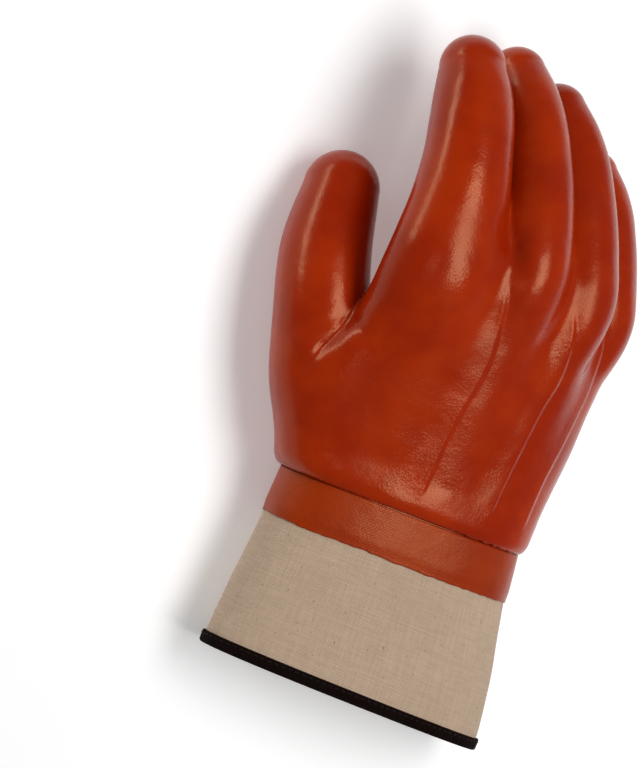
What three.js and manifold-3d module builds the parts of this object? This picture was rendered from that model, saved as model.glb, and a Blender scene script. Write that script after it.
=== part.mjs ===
// PVC coated work glove, right hand, lying palm side down.
// Millimetres. X runs across the hand, minus on the thumb side. Y runs from the hem
// of the cuff to the fingertips. Z is up and the glove rests on Z = 0.
import * as THREE from 'three';
import { mergeVertices } from 'three/addons/utils/BufferGeometryUtils.js';
import Module from 'manifold-3d';

const wasm = await Module();
wasm.setup();

// Walls and clearances
const shellThickness = 3.5;
const coatThickness = 0.9;
const canvasThickness = 1.6;
const bindingThickness = 1.2;
const clearance = 0.3;

// Cuff: a flared canvas tube, its top dipped in the coat, its hem bound with tape
const cuffLength = 88;
const hemWidth = 139;
const hemHeight = 52;
const wristWidth = 117;
const wristHeight = 53;
const bandLength = 22;
const bindingDepth = 5.6;
const tuckLength = 10;
const hemSlant = 0.055;
const wristSlant = 0.01;
const cuffFlatShare = 0.5;
const hemOffset = 8;
const wristOffset = 2.5;
const hemLean = 0.06;
const cuffBelly = 0.44;

// Hand: from the wrist seam to the knuckles
const palmLength = 113;
const palmWidth = 120;
const palmHeight = 60;
const lipRadius = 2.2;
const fullness = 2.4;
const rootSpread = 1.12;
const rootDepth = 0.9;

// Fingers and thumb, from the knuckle to the tip
const indexLength = 94;
const middleLength = 102;
const ringLength = 97;
const littleLength = 77;
const thumbLength = 125;
const fingerWidth = 32;
const fingerDepth = 36;
const thumbWidth = 40;
const thumbDepth = 40;
const thumbRoll = -20;
const tipRoundness = 0.42;
const curlEase = 1.3;

// Raised seams on the back of the hand, half sunk in the coat and thinner at their ends
const seamRadius = 1.3;
const seamSink = 0.15;
const seamEndShare = 0.35;
const seamGrowth = 0.5;

// Facets
const tubeSides = 40;
const flatSteps = 3;
const lipSteps = 2;
const fingerSides = 20;
const fingerSteps = 6;
const tipSteps = 3;
const tipCut = 0.35;
const strapSteps = 2;
const seamSides = 6;
const seamSteps = 14;

// Reach of cuts past the faces they open, and sizes larger than the whole glove
const cutReach = 0.6;
const skyHeight = 200;
const floorBlock = 800;
const weldDistance = 1e-4;

const radians = THREE.MathUtils.degToRad;
const blend = THREE.MathUtils.lerp;

// Sections of the palm. along is a share of palmLength, across and halfWidth are shares of
// palmWidth, centre, top and bottom are shares of palmHeight, flat is the share of the half
// width that is flat underneath, roll is in degrees.
const palmSections = [
  { along: 0.26, across: 0.02, halfWidth: 0.525, centre: 0.52, top: 0.52, bottom: 0.49, flat: 0.35, roll: 4 },
  { along: 0.5, across: 0.03, halfWidth: 0.535, centre: 0.6, top: 0.5, bottom: 0.49, flat: 0.25, roll: 10 },
  { along: 0.76, across: 0.04, halfWidth: 0.5, centre: 0.7, top: 0.42, bottom: 0.46, flat: 0.15, roll: 15 },
  { along: 0.97, across: 0.04, halfWidth: 0.42, centre: 0.82, top: 0.2, bottom: 0.38, flat: 0.1, roll: 20 },
];

// Fingers. knuckle and root are places: across is a share of palmWidth, along a share of
// palmLength, up a share of palmHeight. width and depth are shares of fingerWidth and
// fingerDepth, base of width. roll, splay, flex and curl are in degrees.
const fingers = [
  {
    length: indexLength, width: 1.12, depth: 0.96, base: 1.43, roll: 6, splay: -6.5, flex: 1, curl: 28,
    knuckle: { across: -0.32, along: 1.01, up: 1.11 }, root: { across: -0.23, along: 0.14, up: 0.57 },
  },
  {
    length: middleLength, width: 0.95, depth: 0.94, base: 1.28, roll: 26, splay: -1, flex: 13, curl: 30,
    knuckle: { across: -0.005, along: 1.06, up: 1.06 }, root: { across: 0.06, along: 0.10, up: 0.62 },
  },
  {
    length: ringLength, width: 0.92, depth: 0.92, base: 1.18, roll: 36, splay: -1.5, flex: 15, curl: 26,
    knuckle: { across: 0.265, along: 1.04, up: 0.88 }, root: { across: 0.26, along: 0.10, up: 0.58 },
  },
  {
    length: littleLength, width: 0.88, depth: 0.86, base: 1.16, roll: 45, splay: 2, flex: 13, curl: 22,
    knuckle: { across: 0.48, along: 1.01, up: 0.49 }, root: { across: 0.36, along: 0.10, up: 0.44 },
  },
];

// Taper of a finger: share of its length, and of its base, width and depth there
const fingerTaper = [
  { along: 0.00, base: 1.00, width: 0.00, depth: 1.14 },
  { along: 0.24, base: 0.30, width: 0.80, depth: 1.08 },
  { along: 0.48, base: 0.00, width: 1.09, depth: 1.04 },
  { along: 0.80, base: 0.00, width: 0.99, depth: 0.98 },
  { along: 1.00, base: 0.00, width: 0.84, depth: 0.82 },
];

// Thumb: across and up are shares of palmWidth and palmHeight, along of thumbLength,
// width and depth of thumbWidth and thumbDepth
const thumbSections = [
  { across: -0.35, along: 0.10, up: 0.52, width: 0.92, depth: 0.90 },
  { across: -0.48, along: 0.31, up: 0.54, width: 1.08, depth: 1.05 },
  { across: -0.57, along: 0.54, up: 0.53, width: 1.05, depth: 1.00 },
  { across: -0.62, along: 0.76, up: 0.42, width: 1.00, depth: 0.95 },
  { across: -0.62, along: 0.98, up: 0.27, width: 0.84, depth: 0.84 },
];

// Seams: places between two fingers, across as a share of palmWidth, along of palmLength
const seams = [
  [{ across: -0.08, along: 0.98 }, { across: -0.03, along: 0.70 }, { across: -0.05, along: 0.40 },
    { across: -0.05, along: 0.05 }],
  [{ across: 0.22, along: 0.97 }, { across: 0.29, along: 0.75 }, { across: 0.25, along: 0.42 },
    { across: 0.23, along: 0.05 }],
  [{ across: 0.44, along: 0.97 }, { across: 0.47, along: 0.78 }, { across: 0.44, along: 0.50 },
    { across: 0.41, along: 0.08 }],
];

// Points round a flattened tube in the plane of its section: a half ellipse on top,
// two rounded corners and a flat underneath, drawn in by inset
function tubeOutline({ halfWidth, top, bottom, flat }, inset) {
  const points = [];
  const quarter = tubeSides / 4;
  const flatHalf = halfWidth * flat;
  for (let i = 0; i < tubeSides; i += 1) {
    const angle = (i / tubeSides) * 2 * Math.PI;
    if (i <= quarter * 2) {
      const x = Math.sign(Math.cos(angle)) * Math.abs(Math.cos(angle)) ** (2 / fullness);
      points.push([(halfWidth - inset) * x, (top - inset) * Math.abs(Math.sin(angle)) ** (2 / fullness)]);
      continue;
    }
    const side = i < quarter * 3 ? -1 : 1;
    const fromSide = side < 0 ? i - quarter * 2 : quarter * 4 - i;
    const cornerSteps = quarter - flatSteps;
    if (fromSide <= cornerSteps) {
      const turn = (fromSide / cornerSteps) * Math.PI / 2;
      const corner = halfWidth - flatHalf - inset;
      points.push([side * (flatHalf + corner * Math.cos(turn)), -(bottom - inset) * Math.sin(turn)]);
    } else {
      const rest = 1 - (fromSide - cornerSteps) / flatSteps;
      points.push([side * flatHalf * rest, -(bottom - inset)]);
    }
  }
  return points;
}

// One ring of a tube that runs along Y
function tubeRing(section, y, inset) {
  const roll = radians(section.roll);
  return tubeOutline(section, inset).map(([x, z]) => new THREE.Vector3(
    section.x + x * Math.cos(roll) + z * Math.sin(roll),
    y - section.slant * x + section.lean * z,
    section.z - x * Math.sin(roll) + z * Math.cos(roll),
  ));
}

// One elliptical ring about a point, with its own across and up axes
function ellipseRing(centre, across, up, halfWidth, halfDepth) {
  const ring = [];
  for (let i = 0; i < fingerSides; i += 1) {
    const angle = (i / fingerSides) * 2 * Math.PI;
    ring.push(centre.clone()
      .addScaledVector(across, halfWidth * Math.cos(angle))
      .addScaledVector(up, halfDepth * Math.sin(angle)));
  }
  return ring;
}

// Closed geometry through rings of equal count, with flat ends. A closed loop of rings
// joins its last ring to its first instead.
function loft(rings, looped = false) {
  const count = rings[0].length;
  const positions = rings.flat().flatMap((point) => [point.x, point.y, point.z]);
  const index = [];
  const spans = looped ? rings.length : rings.length - 1;
  for (let r = 0; r < spans; r += 1) {
    const next = (r + 1) % rings.length;
    for (let i = 0; i < count; i += 1) {
      const j = (i + 1) % count;
      index.push(r * count + i, r * count + j, next * count + j);
      index.push(r * count + i, next * count + j, next * count + i);
    }
  }
  if (!looped) {
    [0, rings.length - 1].forEach((r) => {
      const middle = rings[r].reduce((sum, point) => sum.add(point), new THREE.Vector3()).divideScalar(count);
      const hub = positions.length / 3;
      positions.push(middle.x, middle.y, middle.z);
      for (let i = 0; i < count; i += 1) {
        const j = (i + 1) % count;
        const [a, b] = r === 0 ? [j, i] : [i, j];
        index.push(hub, r * count + a, r * count + b);
      }
    });
  }
  const geometry = new THREE.BufferGeometry();
  geometry.setAttribute('position', new THREE.Float32BufferAttribute(positions, 3));
  geometry.setIndex(index);
  return geometry;
}

// Solid for joining and cutting, turned outwards whichever way its rings ran
function solid(geometry) {
  const plain = geometry.clone();
  plain.deleteAttribute('normal');
  plain.deleteAttribute('uv');
  const merged = mergeVertices(plain, weldDistance);
  const triangles = Uint32Array.from(merged.index.array);
  const vertices = Float32Array.from(merged.attributes.position.array);
  let volume = 0;
  const corner = (k) => new THREE.Vector3().fromArray(vertices, triangles[k] * 3);
  for (let k = 0; k < triangles.length; k += 3) {
    volume += corner(k).dot(corner(k + 1).cross(corner(k + 2)));
  }
  if (volume < 0) {
    for (let k = 0; k < triangles.length; k += 3) {
      [triangles[k], triangles[k + 1]] = [triangles[k + 1], triangles[k]];
    }
  }
  return new wasm.Manifold(new wasm.Mesh({ numProp: 3, vertProperties: vertices, triVerts: triangles }));
}

function geometryOf(body) {
  const mesh = body.getMesh();
  const geometry = new THREE.BufferGeometry();
  geometry.setAttribute('position', new THREE.Float32BufferAttribute(Array.from(mesh.vertProperties), 3));
  geometry.setIndex(Array.from(mesh.triVerts));
  geometry.computeVertexNormals();
  return geometry;
}

// Value of a table column at a share along it
function sample(rows, column, along) {
  const last = rows.length - 1;
  let k = 0;
  while (k < last - 1 && along > rows[k + 1].along) {
    k += 1;
  }
  const share = (along - rows[k].along) / (rows[k + 1].along - rows[k].along);
  return blend(rows[k][column], rows[k + 1][column], THREE.MathUtils.clamp(share, 0, 1));
}

// Section of the canvas tube at a share of the way from the hem to the wrist seam. It lies
// above the tape at the hem and above the wall of the hand at the wrist.
const tapeGap = bindingThickness + clearance;
const wallGap = shellThickness + clearance;
const flare = [
  { along: 0.00, swell: 0.00 },
  { along: 0.07, swell: 0.00 },
  { along: 0.33, swell: 0.22 },
  { along: 0.70, swell: 0.74 },
  { along: 1.00, swell: 1.00 },
];

function cuffSection(along) {
  const swell = sample(flare, 'swell', along);
  const height = blend(hemHeight, wristHeight, swell);
  const bottom = height * cuffBelly;
  return {
    x: blend(hemOffset, wristOffset, swell),
    z: blend(tapeGap, wallGap, swell) + bottom,
    halfWidth: blend(hemWidth, wristWidth, swell) / 2,
    top: height - bottom,
    bottom,
    flat: cuffFlatShare,
    roll: 0,
    slant: blend(hemSlant, wristSlant, swell),
    lean: blend(hemLean, 0, swell),
  };
}

// Wall of a tube between two shares of the cuff, from one inset to another
function cuffWall(rows, outer, inner) {
  const outside = rows.map(({ section, y }) => tubeRing(section, y, outer));
  const inside = rows.map(({ section, y }) => tubeRing(section, y, inner)).reverse();
  return loft([...outside, ...inside], true);
}

const cuffRow = (y) => ({ section: cuffSection(THREE.MathUtils.clamp(y / cuffLength, 0, 1)), y });

// Canvas tube, from inside the binding to inside the lip of the hand
function canvasCuff() {
  const bends = flare.slice(1).map(({ along }) => along * cuffLength);
  const rows = [tapeGap, ...bends, cuffLength + tuckLength].map(cuffRow);
  return solid(cuffWall(rows, 0, canvasThickness));
}

// Coated top of the cuff: a skin that ends at the wrist seam
function dippedBand() {
  const rows = [cuffLength - bandLength, cuffLength - clearance].map(cuffRow);
  return solid(cuffWall(rows, -clearance - coatThickness, -clearance));
}

// Tape folded round the hem: outside, round the edge and back inside
function hemBinding() {
  const outside = -clearance - bindingThickness;
  const inside = canvasThickness + clearance + bindingThickness;
  const profile = [
    { y: bindingDepth, inset: outside },
    { y: bindingThickness, inset: outside },
    { y: 0, inset: outside + bindingThickness },
    { y: 0, inset: inside - bindingThickness },
    { y: bindingThickness, inset: inside },
    { y: bindingDepth, inset: inside },
    { y: bindingDepth, inset: inside - bindingThickness },
    { y: bindingThickness, inset: inside - bindingThickness },
    { y: bindingThickness, inset: -clearance },
    { y: bindingDepth, inset: -clearance },
  ];
  return solid(loft(profile.map(({ y, inset }) => tubeRing(cuffRow(y).section, y, inset)), true));
}

// Palm and back of the hand as one tube, drawn in by inset. Its outside starts with the
// rounded lip of the wrist seam, and its inside ends short of the far end by the inset.
function palmTube(inset) {
  const wrist = cuffSection(1);
  const wristRow = {
    ...wrist, halfWidth: wrist.halfWidth + wallGap, top: wrist.top + wallGap, bottom: wrist.bottom + wallGap,
  };
  const rings = [];
  if (inset > 0) {
    rings.push(tubeRing(wristRow, cuffLength - cutReach, inset));
  } else {
    for (let i = 0; i <= lipSteps; i += 1) {
      const turn = (i / lipSteps) * Math.PI / 2;
      const y = cuffLength + lipRadius * (1 - Math.cos(turn));
      rings.push(tubeRing(wristRow, y, lipRadius * (1 - Math.sin(turn))));
    }
  }
  rings.push(tubeRing(wristRow, cuffLength + tuckLength + clearance, inset));
  palmSections.forEach((row, k) => rings.push(tubeRing({
    x: row.across * palmWidth,
    z: row.centre * palmHeight,
    halfWidth: row.halfWidth * palmWidth,
    top: row.top * palmHeight,
    bottom: row.bottom * palmHeight,
    flat: row.flat,
    roll: row.roll,
    slant: wristSlant * (1 - row.along),
    lean: 0,
  }, cuffLength + row.along * palmLength - (k === palmSections.length - 1 ? inset : 0), inset)));
  return solid(loft(rings));
}

const place = ({ across, along, up }) => new THREE.Vector3(
  across * palmWidth, cuffLength + along * palmLength, up * palmHeight,
);

// Axes of a finger at a bend: forwards, across and up
function fingerAxes({ roll, splay }, bend) {
  const across0 = new THREE.Vector3(Math.cos(radians(roll)), 0, -Math.sin(radians(roll)));
  const up0 = new THREE.Vector3(Math.sin(radians(roll)), 0, Math.cos(radians(roll)));
  const ahead0 = new THREE.Vector3(0, 1, 0);
  const side = radians(splay);
  const straight = ahead0.clone().multiplyScalar(Math.cos(side)).addScaledVector(across0, Math.sin(side));
  const across = across0.clone().multiplyScalar(Math.cos(side)).addScaledVector(ahead0, -Math.sin(side));
  const turn = radians(bend);
  const ahead = straight.clone().multiplyScalar(Math.cos(turn)).addScaledVector(up0, -Math.sin(turn));
  const up = up0.clone().multiplyScalar(Math.cos(turn)).addScaledVector(straight, Math.sin(turn));
  return { ahead, across, up };
}

// Rounded end of a finger: rings that shrink along a quarter circle
function tipRings(centre, { ahead, across, up }, halfWidth, halfDepth, reach) {
  const rings = [];
  for (let i = 1; i <= tipSteps; i += 1) {
    const turn = (i / (tipSteps + tipCut)) * Math.PI / 2;
    const middle = centre.clone().addScaledVector(ahead, reach * Math.sin(turn));
    rings.push(ellipseRing(middle, across, up, halfWidth * Math.cos(turn), halfDepth * Math.cos(turn)));
  }
  return rings;
}

// One finger with its strip of the back of the hand, drawn in by inset
function fingerTube(finger, inset) {
  const knuckle = place(finger.knuckle);
  const root = place(finger.root);
  const first = fingerAxes(finger, finger.flex);
  const taper = (column, along) => sample(fingerTaper, column, along);
  const swell = (along) => taper('width', along) + finger.base * taper('base', along);
  const halfWidth = (along) => finger.width * fingerWidth * swell(along) / 2 - inset;
  const halfDepth = (along) => finger.depth * fingerDepth * taper('depth', along) / 2 - inset;
  const tipReach = finger.width * fingerWidth * tipRoundness;
  const bendLength = finger.length - tipReach;
  const rings = [];
  for (let i = 0; i < strapSteps; i += 1) {
    const share = i / strapSteps;
    const wide = blend(rootSpread, 1, share) * (halfWidth(0) + inset) - inset;
    const deep = blend(rootDepth, 1, share) * (halfDepth(0) + inset) - inset;
    rings.push(ellipseRing(root.clone().lerp(knuckle, share), first.across, first.up, wide, deep));
  }
  const centre = knuckle.clone();
  let axes = first;
  for (let i = 0; i <= fingerSteps; i += 1) {
    const along = i / fingerSteps;
    axes = fingerAxes(finger, finger.flex + finger.curl * along ** curlEase);
    if (i > 0) {
      centre.addScaledVector(axes.ahead, bendLength / fingerSteps);
    }
    rings.push(ellipseRing(centre, axes.across, axes.up, halfWidth(along), halfDepth(along)));
  }
  rings.push(...tipRings(centre, axes, halfWidth(1), halfDepth(1), tipReach - inset));
  return solid(loft(rings));
}

// Thumb, drawn in by inset
function thumbTube(inset) {
  const centres = thumbSections.map(({ across, along, up }) => new THREE.Vector3(
    across * palmWidth, cuffLength + along * thumbLength, up * palmHeight,
  ));
  const lift = new THREE.Vector3(Math.sin(radians(thumbRoll)), 0, Math.cos(radians(thumbRoll)));
  let axes = null;
  const rings = thumbSections.map((row, k) => {
    const before = centres[Math.max(k - 1, 0)];
    const after = centres[Math.min(k + 1, centres.length - 1)];
    const ahead = after.clone().sub(before).normalize();
    const up = lift.clone().addScaledVector(ahead, -ahead.dot(lift)).normalize();
    axes = { ahead, up, across: new THREE.Vector3().crossVectors(ahead, up) };
    return ellipseRing(centres[k], axes.across, up,
      row.width * thumbWidth / 2 - inset, row.depth * thumbDepth / 2 - inset);
  });
  const tip = thumbSections[thumbSections.length - 1];
  rings.push(...tipRings(centres[centres.length - 1], axes, tip.width * thumbWidth / 2 - inset,
    tip.depth * thumbDepth / 2 - inset, thumbWidth * tipRoundness - inset));
  return solid(loft(rings));
}

function handForm(inset) {
  return fingers.reduce((form, finger) => form.add(fingerTube(finger, inset)),
    palmTube(inset).add(thumbTube(inset)));
}

// Bead along a seam, laid on the back of the hand
function seamBead(points, ground) {
  const path = new THREE.CatmullRomCurve3(points.map(({ across, along }) => new THREE.Vector3(
    across * palmWidth, cuffLength + along * palmLength, 0,
  )));
  const ray = new THREE.Raycaster();
  const down = new THREE.Vector3(0, 0, -1);
  const spine = path.getPoints(seamSteps).map((point) => {
    ray.set(point.clone().setZ(skyHeight), down);
    return ray.intersectObject(ground)[0].point.addScaledVector(down, seamSink);
  });
  const rings = spine.map((point, k) => {
    const ahead = spine[Math.min(k + 1, seamSteps)].clone().sub(spine[Math.max(k - 1, 0)]).normalize();
    const across = new THREE.Vector3().crossVectors(ahead, down).normalize();
    const up = new THREE.Vector3().crossVectors(across, ahead);
    const fade = Math.min(1, seamEndShare + Math.min(k, seamSteps - k) * seamGrowth);
    return Array.from({ length: seamSides }, (_, i) => {
      const angle = ((i + 0.5) / seamSides) * 2 * Math.PI;
      return point.clone().addScaledVector(across, seamRadius * fade * Math.cos(angle))
        .addScaledVector(up, seamRadius * fade * Math.sin(angle));
    });
  });
  return solid(loft(rings));
}

// Block under the surface that the glove rests on
function underfloor() {
  const block = new THREE.BoxGeometry(floorBlock, floorBlock, floorBlock);
  block.translate(0, 0, -floorBlock / 2);
  return solid(block);
}

function handShell() {
  const outer = handForm(0);
  const ground = new THREE.Mesh(geometryOf(outer));
  const seamed = seams.reduce((form, points) => form.add(seamBead(points, ground)), outer);
  return seamed.subtract(handForm(shellThickness)).subtract(underfloor());
}

const finishes = {
  hand_shell: { color: 0xa33a10, roughness: 0.25, metalness: 0 },
  dipped_band: { color: 0xa0360e, roughness: 0.35, metalness: 0 },
  canvas_cuff: { color: 0xbfae94, roughness: 0.95, metalness: 0 },
  hem_binding: { color: 0x2a1b16, roughness: 0.9, metalness: 0 },
};
const solids = {
  hand_shell: handShell(),
  dipped_band: dippedBand(),
  canvas_cuff: canvasCuff(),
  hem_binding: hemBinding(),
};

const group = new THREE.Group();
Object.entries(solids).forEach(([name, body]) => {
  const piece = new THREE.Mesh(geometryOf(body), new THREE.MeshStandardMaterial(finishes[name]));
  piece.name = name;
  group.add(piece);
});

// The origin is at the middle of the bottom of the whole glove
const extent = new THREE.Box3().setFromObject(group);
const middle = extent.getCenter(new THREE.Vector3());
group.children.forEach((piece) => piece.position.set(-middle.x, -middle.y, -extent.min.z));

export default group;
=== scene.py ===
"""PVC coated work glove, right hand, lying palm side down: coated shell, canvas safety cuff and bound hem."""
import logging
import math
from dataclasses import dataclass, field
from enum import Enum
from typing import Callable, Sequence

import bmesh
import bpy
import numpy as np
from mathutils import Matrix, Vector


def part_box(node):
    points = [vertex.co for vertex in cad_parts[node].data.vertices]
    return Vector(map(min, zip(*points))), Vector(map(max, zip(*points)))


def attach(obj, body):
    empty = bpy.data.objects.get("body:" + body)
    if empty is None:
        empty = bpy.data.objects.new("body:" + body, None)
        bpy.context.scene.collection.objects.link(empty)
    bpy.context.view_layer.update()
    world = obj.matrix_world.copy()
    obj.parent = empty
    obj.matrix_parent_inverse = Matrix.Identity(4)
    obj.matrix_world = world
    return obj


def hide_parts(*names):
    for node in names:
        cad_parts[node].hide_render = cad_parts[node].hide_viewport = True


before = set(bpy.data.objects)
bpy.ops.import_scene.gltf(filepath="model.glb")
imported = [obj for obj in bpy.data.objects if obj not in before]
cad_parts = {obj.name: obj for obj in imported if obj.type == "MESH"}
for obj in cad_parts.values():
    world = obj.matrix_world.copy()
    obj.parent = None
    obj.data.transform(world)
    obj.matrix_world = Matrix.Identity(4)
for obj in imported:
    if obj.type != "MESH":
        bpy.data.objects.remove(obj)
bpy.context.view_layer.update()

LOG = logging.getLogger("glove")
MILLI = 0.001
FAR = 60.0
Array = np.ndarray


class Slot(Enum):
    """Material slots of the record."""

    COAT = "coat"
    CANVAS = "canvas"
    TAPE = "tape"


# Small helpers for numbers and curves


def smoothstep(low: float, high: float, value: Array) -> Array:
    """Smooth rise from 0 at low to 1 at high.

    Args:
        low: Value where the rise starts.
        high: Value where it ends.
        value: Values to look up.

    Returns:
        Shares from 0 to 1.
    """
    share = np.clip((value - low) / (high - low), 0.0, 1.0)
    return share * share * (3.0 - 2.0 * share)


def soft_min(a: Array, b: Array, reach: Array | float) -> Array:
    """Smaller of two distances, with the edge between them filleted.

    Args:
        a: First distances.
        b: Second distances.
        reach: Width of the fillet.

    Returns:
        Joined distances.
    """
    share = np.maximum(reach - np.abs(a - b), 0.0) / reach
    return np.minimum(a, b) - share * share * reach * 0.25


def soft_max(a: Array, b: Array, reach: Array | float) -> Array:
    """Larger of two distances, with the edge between them rounded."""
    return -soft_min(-a, -b, reach)


def curve_through(keys: Array, values: Array, wanted: Array) -> Array:
    """Smooth curve through rows of values.

    Args:
        keys: Rising places of the rows.
        values: One row of values for each key.
        wanted: Places to look up.

    Returns:
        One row of values for each wanted place.
    """
    gaps = np.diff(keys)
    slopes = np.diff(values, axis=0) / gaps[:, None]
    tangents = np.empty_like(values)
    tangents[0], tangents[-1] = slopes[0], slopes[-1]
    before, after = gaps[:-1, None], gaps[1:, None]
    tangents[1:-1] = (slopes[:-1] * after + slopes[1:] * before) / (before + after)
    row = np.clip(np.searchsorted(keys, wanted, side="right") - 1, 0, len(gaps) - 1)
    t = np.clip((wanted - keys[row]) / gaps[row], 0.0, 1.0)[:, None]
    width = gaps[row][:, None]
    return ((2 * t**3 - 3 * t**2 + 1) * values[row] + (t**3 - 2 * t**2 + t) * width * tangents[row]
            + (3 * t**2 - 2 * t**3) * values[row + 1] + (t**3 - t**2) * width * tangents[row + 1])


def run_lengths(points: Array) -> Array:
    """Length along a line of points at each of them."""
    return np.concatenate([[0.0], np.cumsum(np.linalg.norm(np.diff(points, axis=0), axis=1))])


def even_line(points: Array, count: int) -> Array:
    """Smooth line through points, as a number of points."""
    keys = run_lengths(points)
    return curve_through(keys, points, np.linspace(0.0, keys[-1], count))


@dataclass
class Ripple:
    """Smooth random relief in space, the same in each run."""

    seed: int
    wavelength: float
    size: int = 24
    lattice: Array = field(init=False)

    def __post_init__(self) -> None:
        """Draws the random lattice."""
        self.lattice = np.random.default_rng(self.seed).uniform(-1.0, 1.0, (self.size,) * 3)

    def at(self, points: Array) -> Array:
        """Relief from -1 to 1.

        Args:
            points: Places in millimetres.

        Returns:
            One value for each place.
        """
        scaled = points / self.wavelength + 100.0
        cell = np.floor(scaled).astype(int)
        t = scaled - cell
        t = t * t * (3.0 - 2.0 * t)
        low, high = cell % self.size, (cell + 1) % self.size
        total = np.zeros(len(points))
        for i in (0, 1):
            for j in (0, 1):
                for k in (0, 1):
                    x = (high if i else low)[:, 0]
                    y = (high if j else low)[:, 1]
                    z = (high if k else low)[:, 2]
                    weight = ((t[:, 0] if i else 1 - t[:, 0]) * (t[:, 1] if j else 1 - t[:, 1])
                              * (t[:, 2] if k else 1 - t[:, 2]))
                    total += weight * self.lattice[x, y, z]
        return total


# Sizes of the glove in millimetres, the same as the solids'


@dataclass(frozen=True)
class GloveSizes:
    """Walls, lengths and widths of the whole glove."""

    shell: float = 3.5
    coat: float = 0.9
    canvas: float = 1.6
    tape: float = 1.2
    gap: float = 0.3
    cuff_length: float = 88.0
    hem_width: float = 139.0
    hem_height: float = 52.0
    wrist_width: float = 117.0
    wrist_height: float = 53.0
    band_length: float = 22.0
    tape_depth: float = 5.6
    tuck: float = 10.0
    hem_slant: float = 0.055
    wrist_slant: float = 0.01
    hem_offset: float = 8.0
    wrist_offset: float = 2.5
    hem_lean: float = 0.06
    cuff_flat: float = 0.5
    cuff_belly: float = 0.44
    palm_length: float = 113.0
    palm_width: float = 120.0
    palm_height: float = 60.0
    fullness: float = 2.4
    finger_width: float = 32.0
    finger_depth: float = 36.0
    thumb_length: float = 125.0
    thumb_width: float = 40.0
    thumb_depth: float = 40.0
    tip_roundness: float = 0.42

    @property
    def wall_gap(self) -> float:
        """Distance from the canvas to the outside of the shell."""
        return self.shell + self.gap

    @property
    def tape_gap(self) -> float:
        """Distance from the canvas to the outside of the tape."""
        return self.tape + self.gap


SIZES = GloveSizes()

# Sections of the palm: along, across, half width, centre, top, bottom, flat share, roll
PALM_ROWS = (
    (0.26, 0.02, 0.525, 0.52, 0.52, 0.49, 0.35, 4.0),
    (0.50, 0.03, 0.535, 0.60, 0.50, 0.49, 0.25, 10.0),
    (0.76, 0.04, 0.500, 0.70, 0.42, 0.46, 0.15, 15.0),
    (0.97, 0.04, 0.420, 0.82, 0.20, 0.38, 0.10, 20.0),
)

# Taper of a finger: share of its length, of its base, width and depth
FINGER_TAPER = (
    (0.00, 1.00, 0.00, 1.14),
    (0.24, 0.30, 0.80, 1.08),
    (0.48, 0.00, 1.09, 1.04),
    (0.80, 0.00, 0.99, 0.98),
    (1.00, 0.00, 0.84, 0.82),
)

# Thumb: across and up of the palm, along of the thumb's length, width and depth
THUMB_ROWS = (
    (-0.35, 0.10, 0.52, 0.92, 0.90),
    (-0.48, 0.31, 0.54, 1.08, 1.05),
    (-0.57, 0.54, 0.53, 1.05, 1.00),
    (-0.62, 0.76, 0.42, 1.00, 0.95),
    (-0.62, 0.98, 0.27, 0.84, 0.84),
)

# Flare of the cuff: share from the hem to the wrist, share of the swell
FLARE = ((0.00, 0.00), (0.07, 0.00), (0.33, 0.22), (0.70, 0.74), (1.00, 1.00))

# Seams on the back of the hand: across and along the palm
SEAMS = (
    ((-0.12, 0.98), (-0.075, 0.84), (-0.04, 0.66), (-0.055, 0.40), (-0.05, 0.05)),
    ((0.20, 0.99), (0.26, 0.84), (0.285, 0.72), (0.265, 0.54), (0.25, 0.30), (0.24, 0.05)),
    ((0.43, 0.99), (0.475, 0.87), (0.485, 0.76), (0.465, 0.54), (0.43, 0.29), (0.42, 0.08)),
)


@dataclass(frozen=True)
class Finger:
    """One finger: its size, its pose and the strip of the back of the hand that it grows from."""

    name: str
    length: float
    width: float
    depth: float
    base: float
    roll: float
    splay: float
    flex: float
    curl: float
    knuckle: tuple[float, float, float]
    root: tuple[float, float, float]


FINGERS = (
    Finger("index", 94.0, 1.12, 0.96, 1.43, 6.0, -6.5, 1.0, 28.0, (-0.32, 1.01, 1.11), (-0.23, 0.14, 0.57)),
    Finger("middle", 102.0, 0.95, 0.94, 1.28, 26.0, -1.0, 13.0, 30.0, (-0.005, 1.06, 1.06),
           (0.06, 0.10, 0.62)),
    Finger("ring", 97.0, 0.92, 0.92, 1.18, 36.0, -1.5, 15.0, 26.0, (0.265, 1.04, 0.88), (0.26, 0.10, 0.58)),
    Finger("little", 77.0, 0.88, 0.86, 1.16, 45.0, 2.0, 13.0, 22.0, (0.48, 1.01, 0.49), (0.36, 0.10, 0.44)),
)


# Forms of the hand as distances


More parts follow.
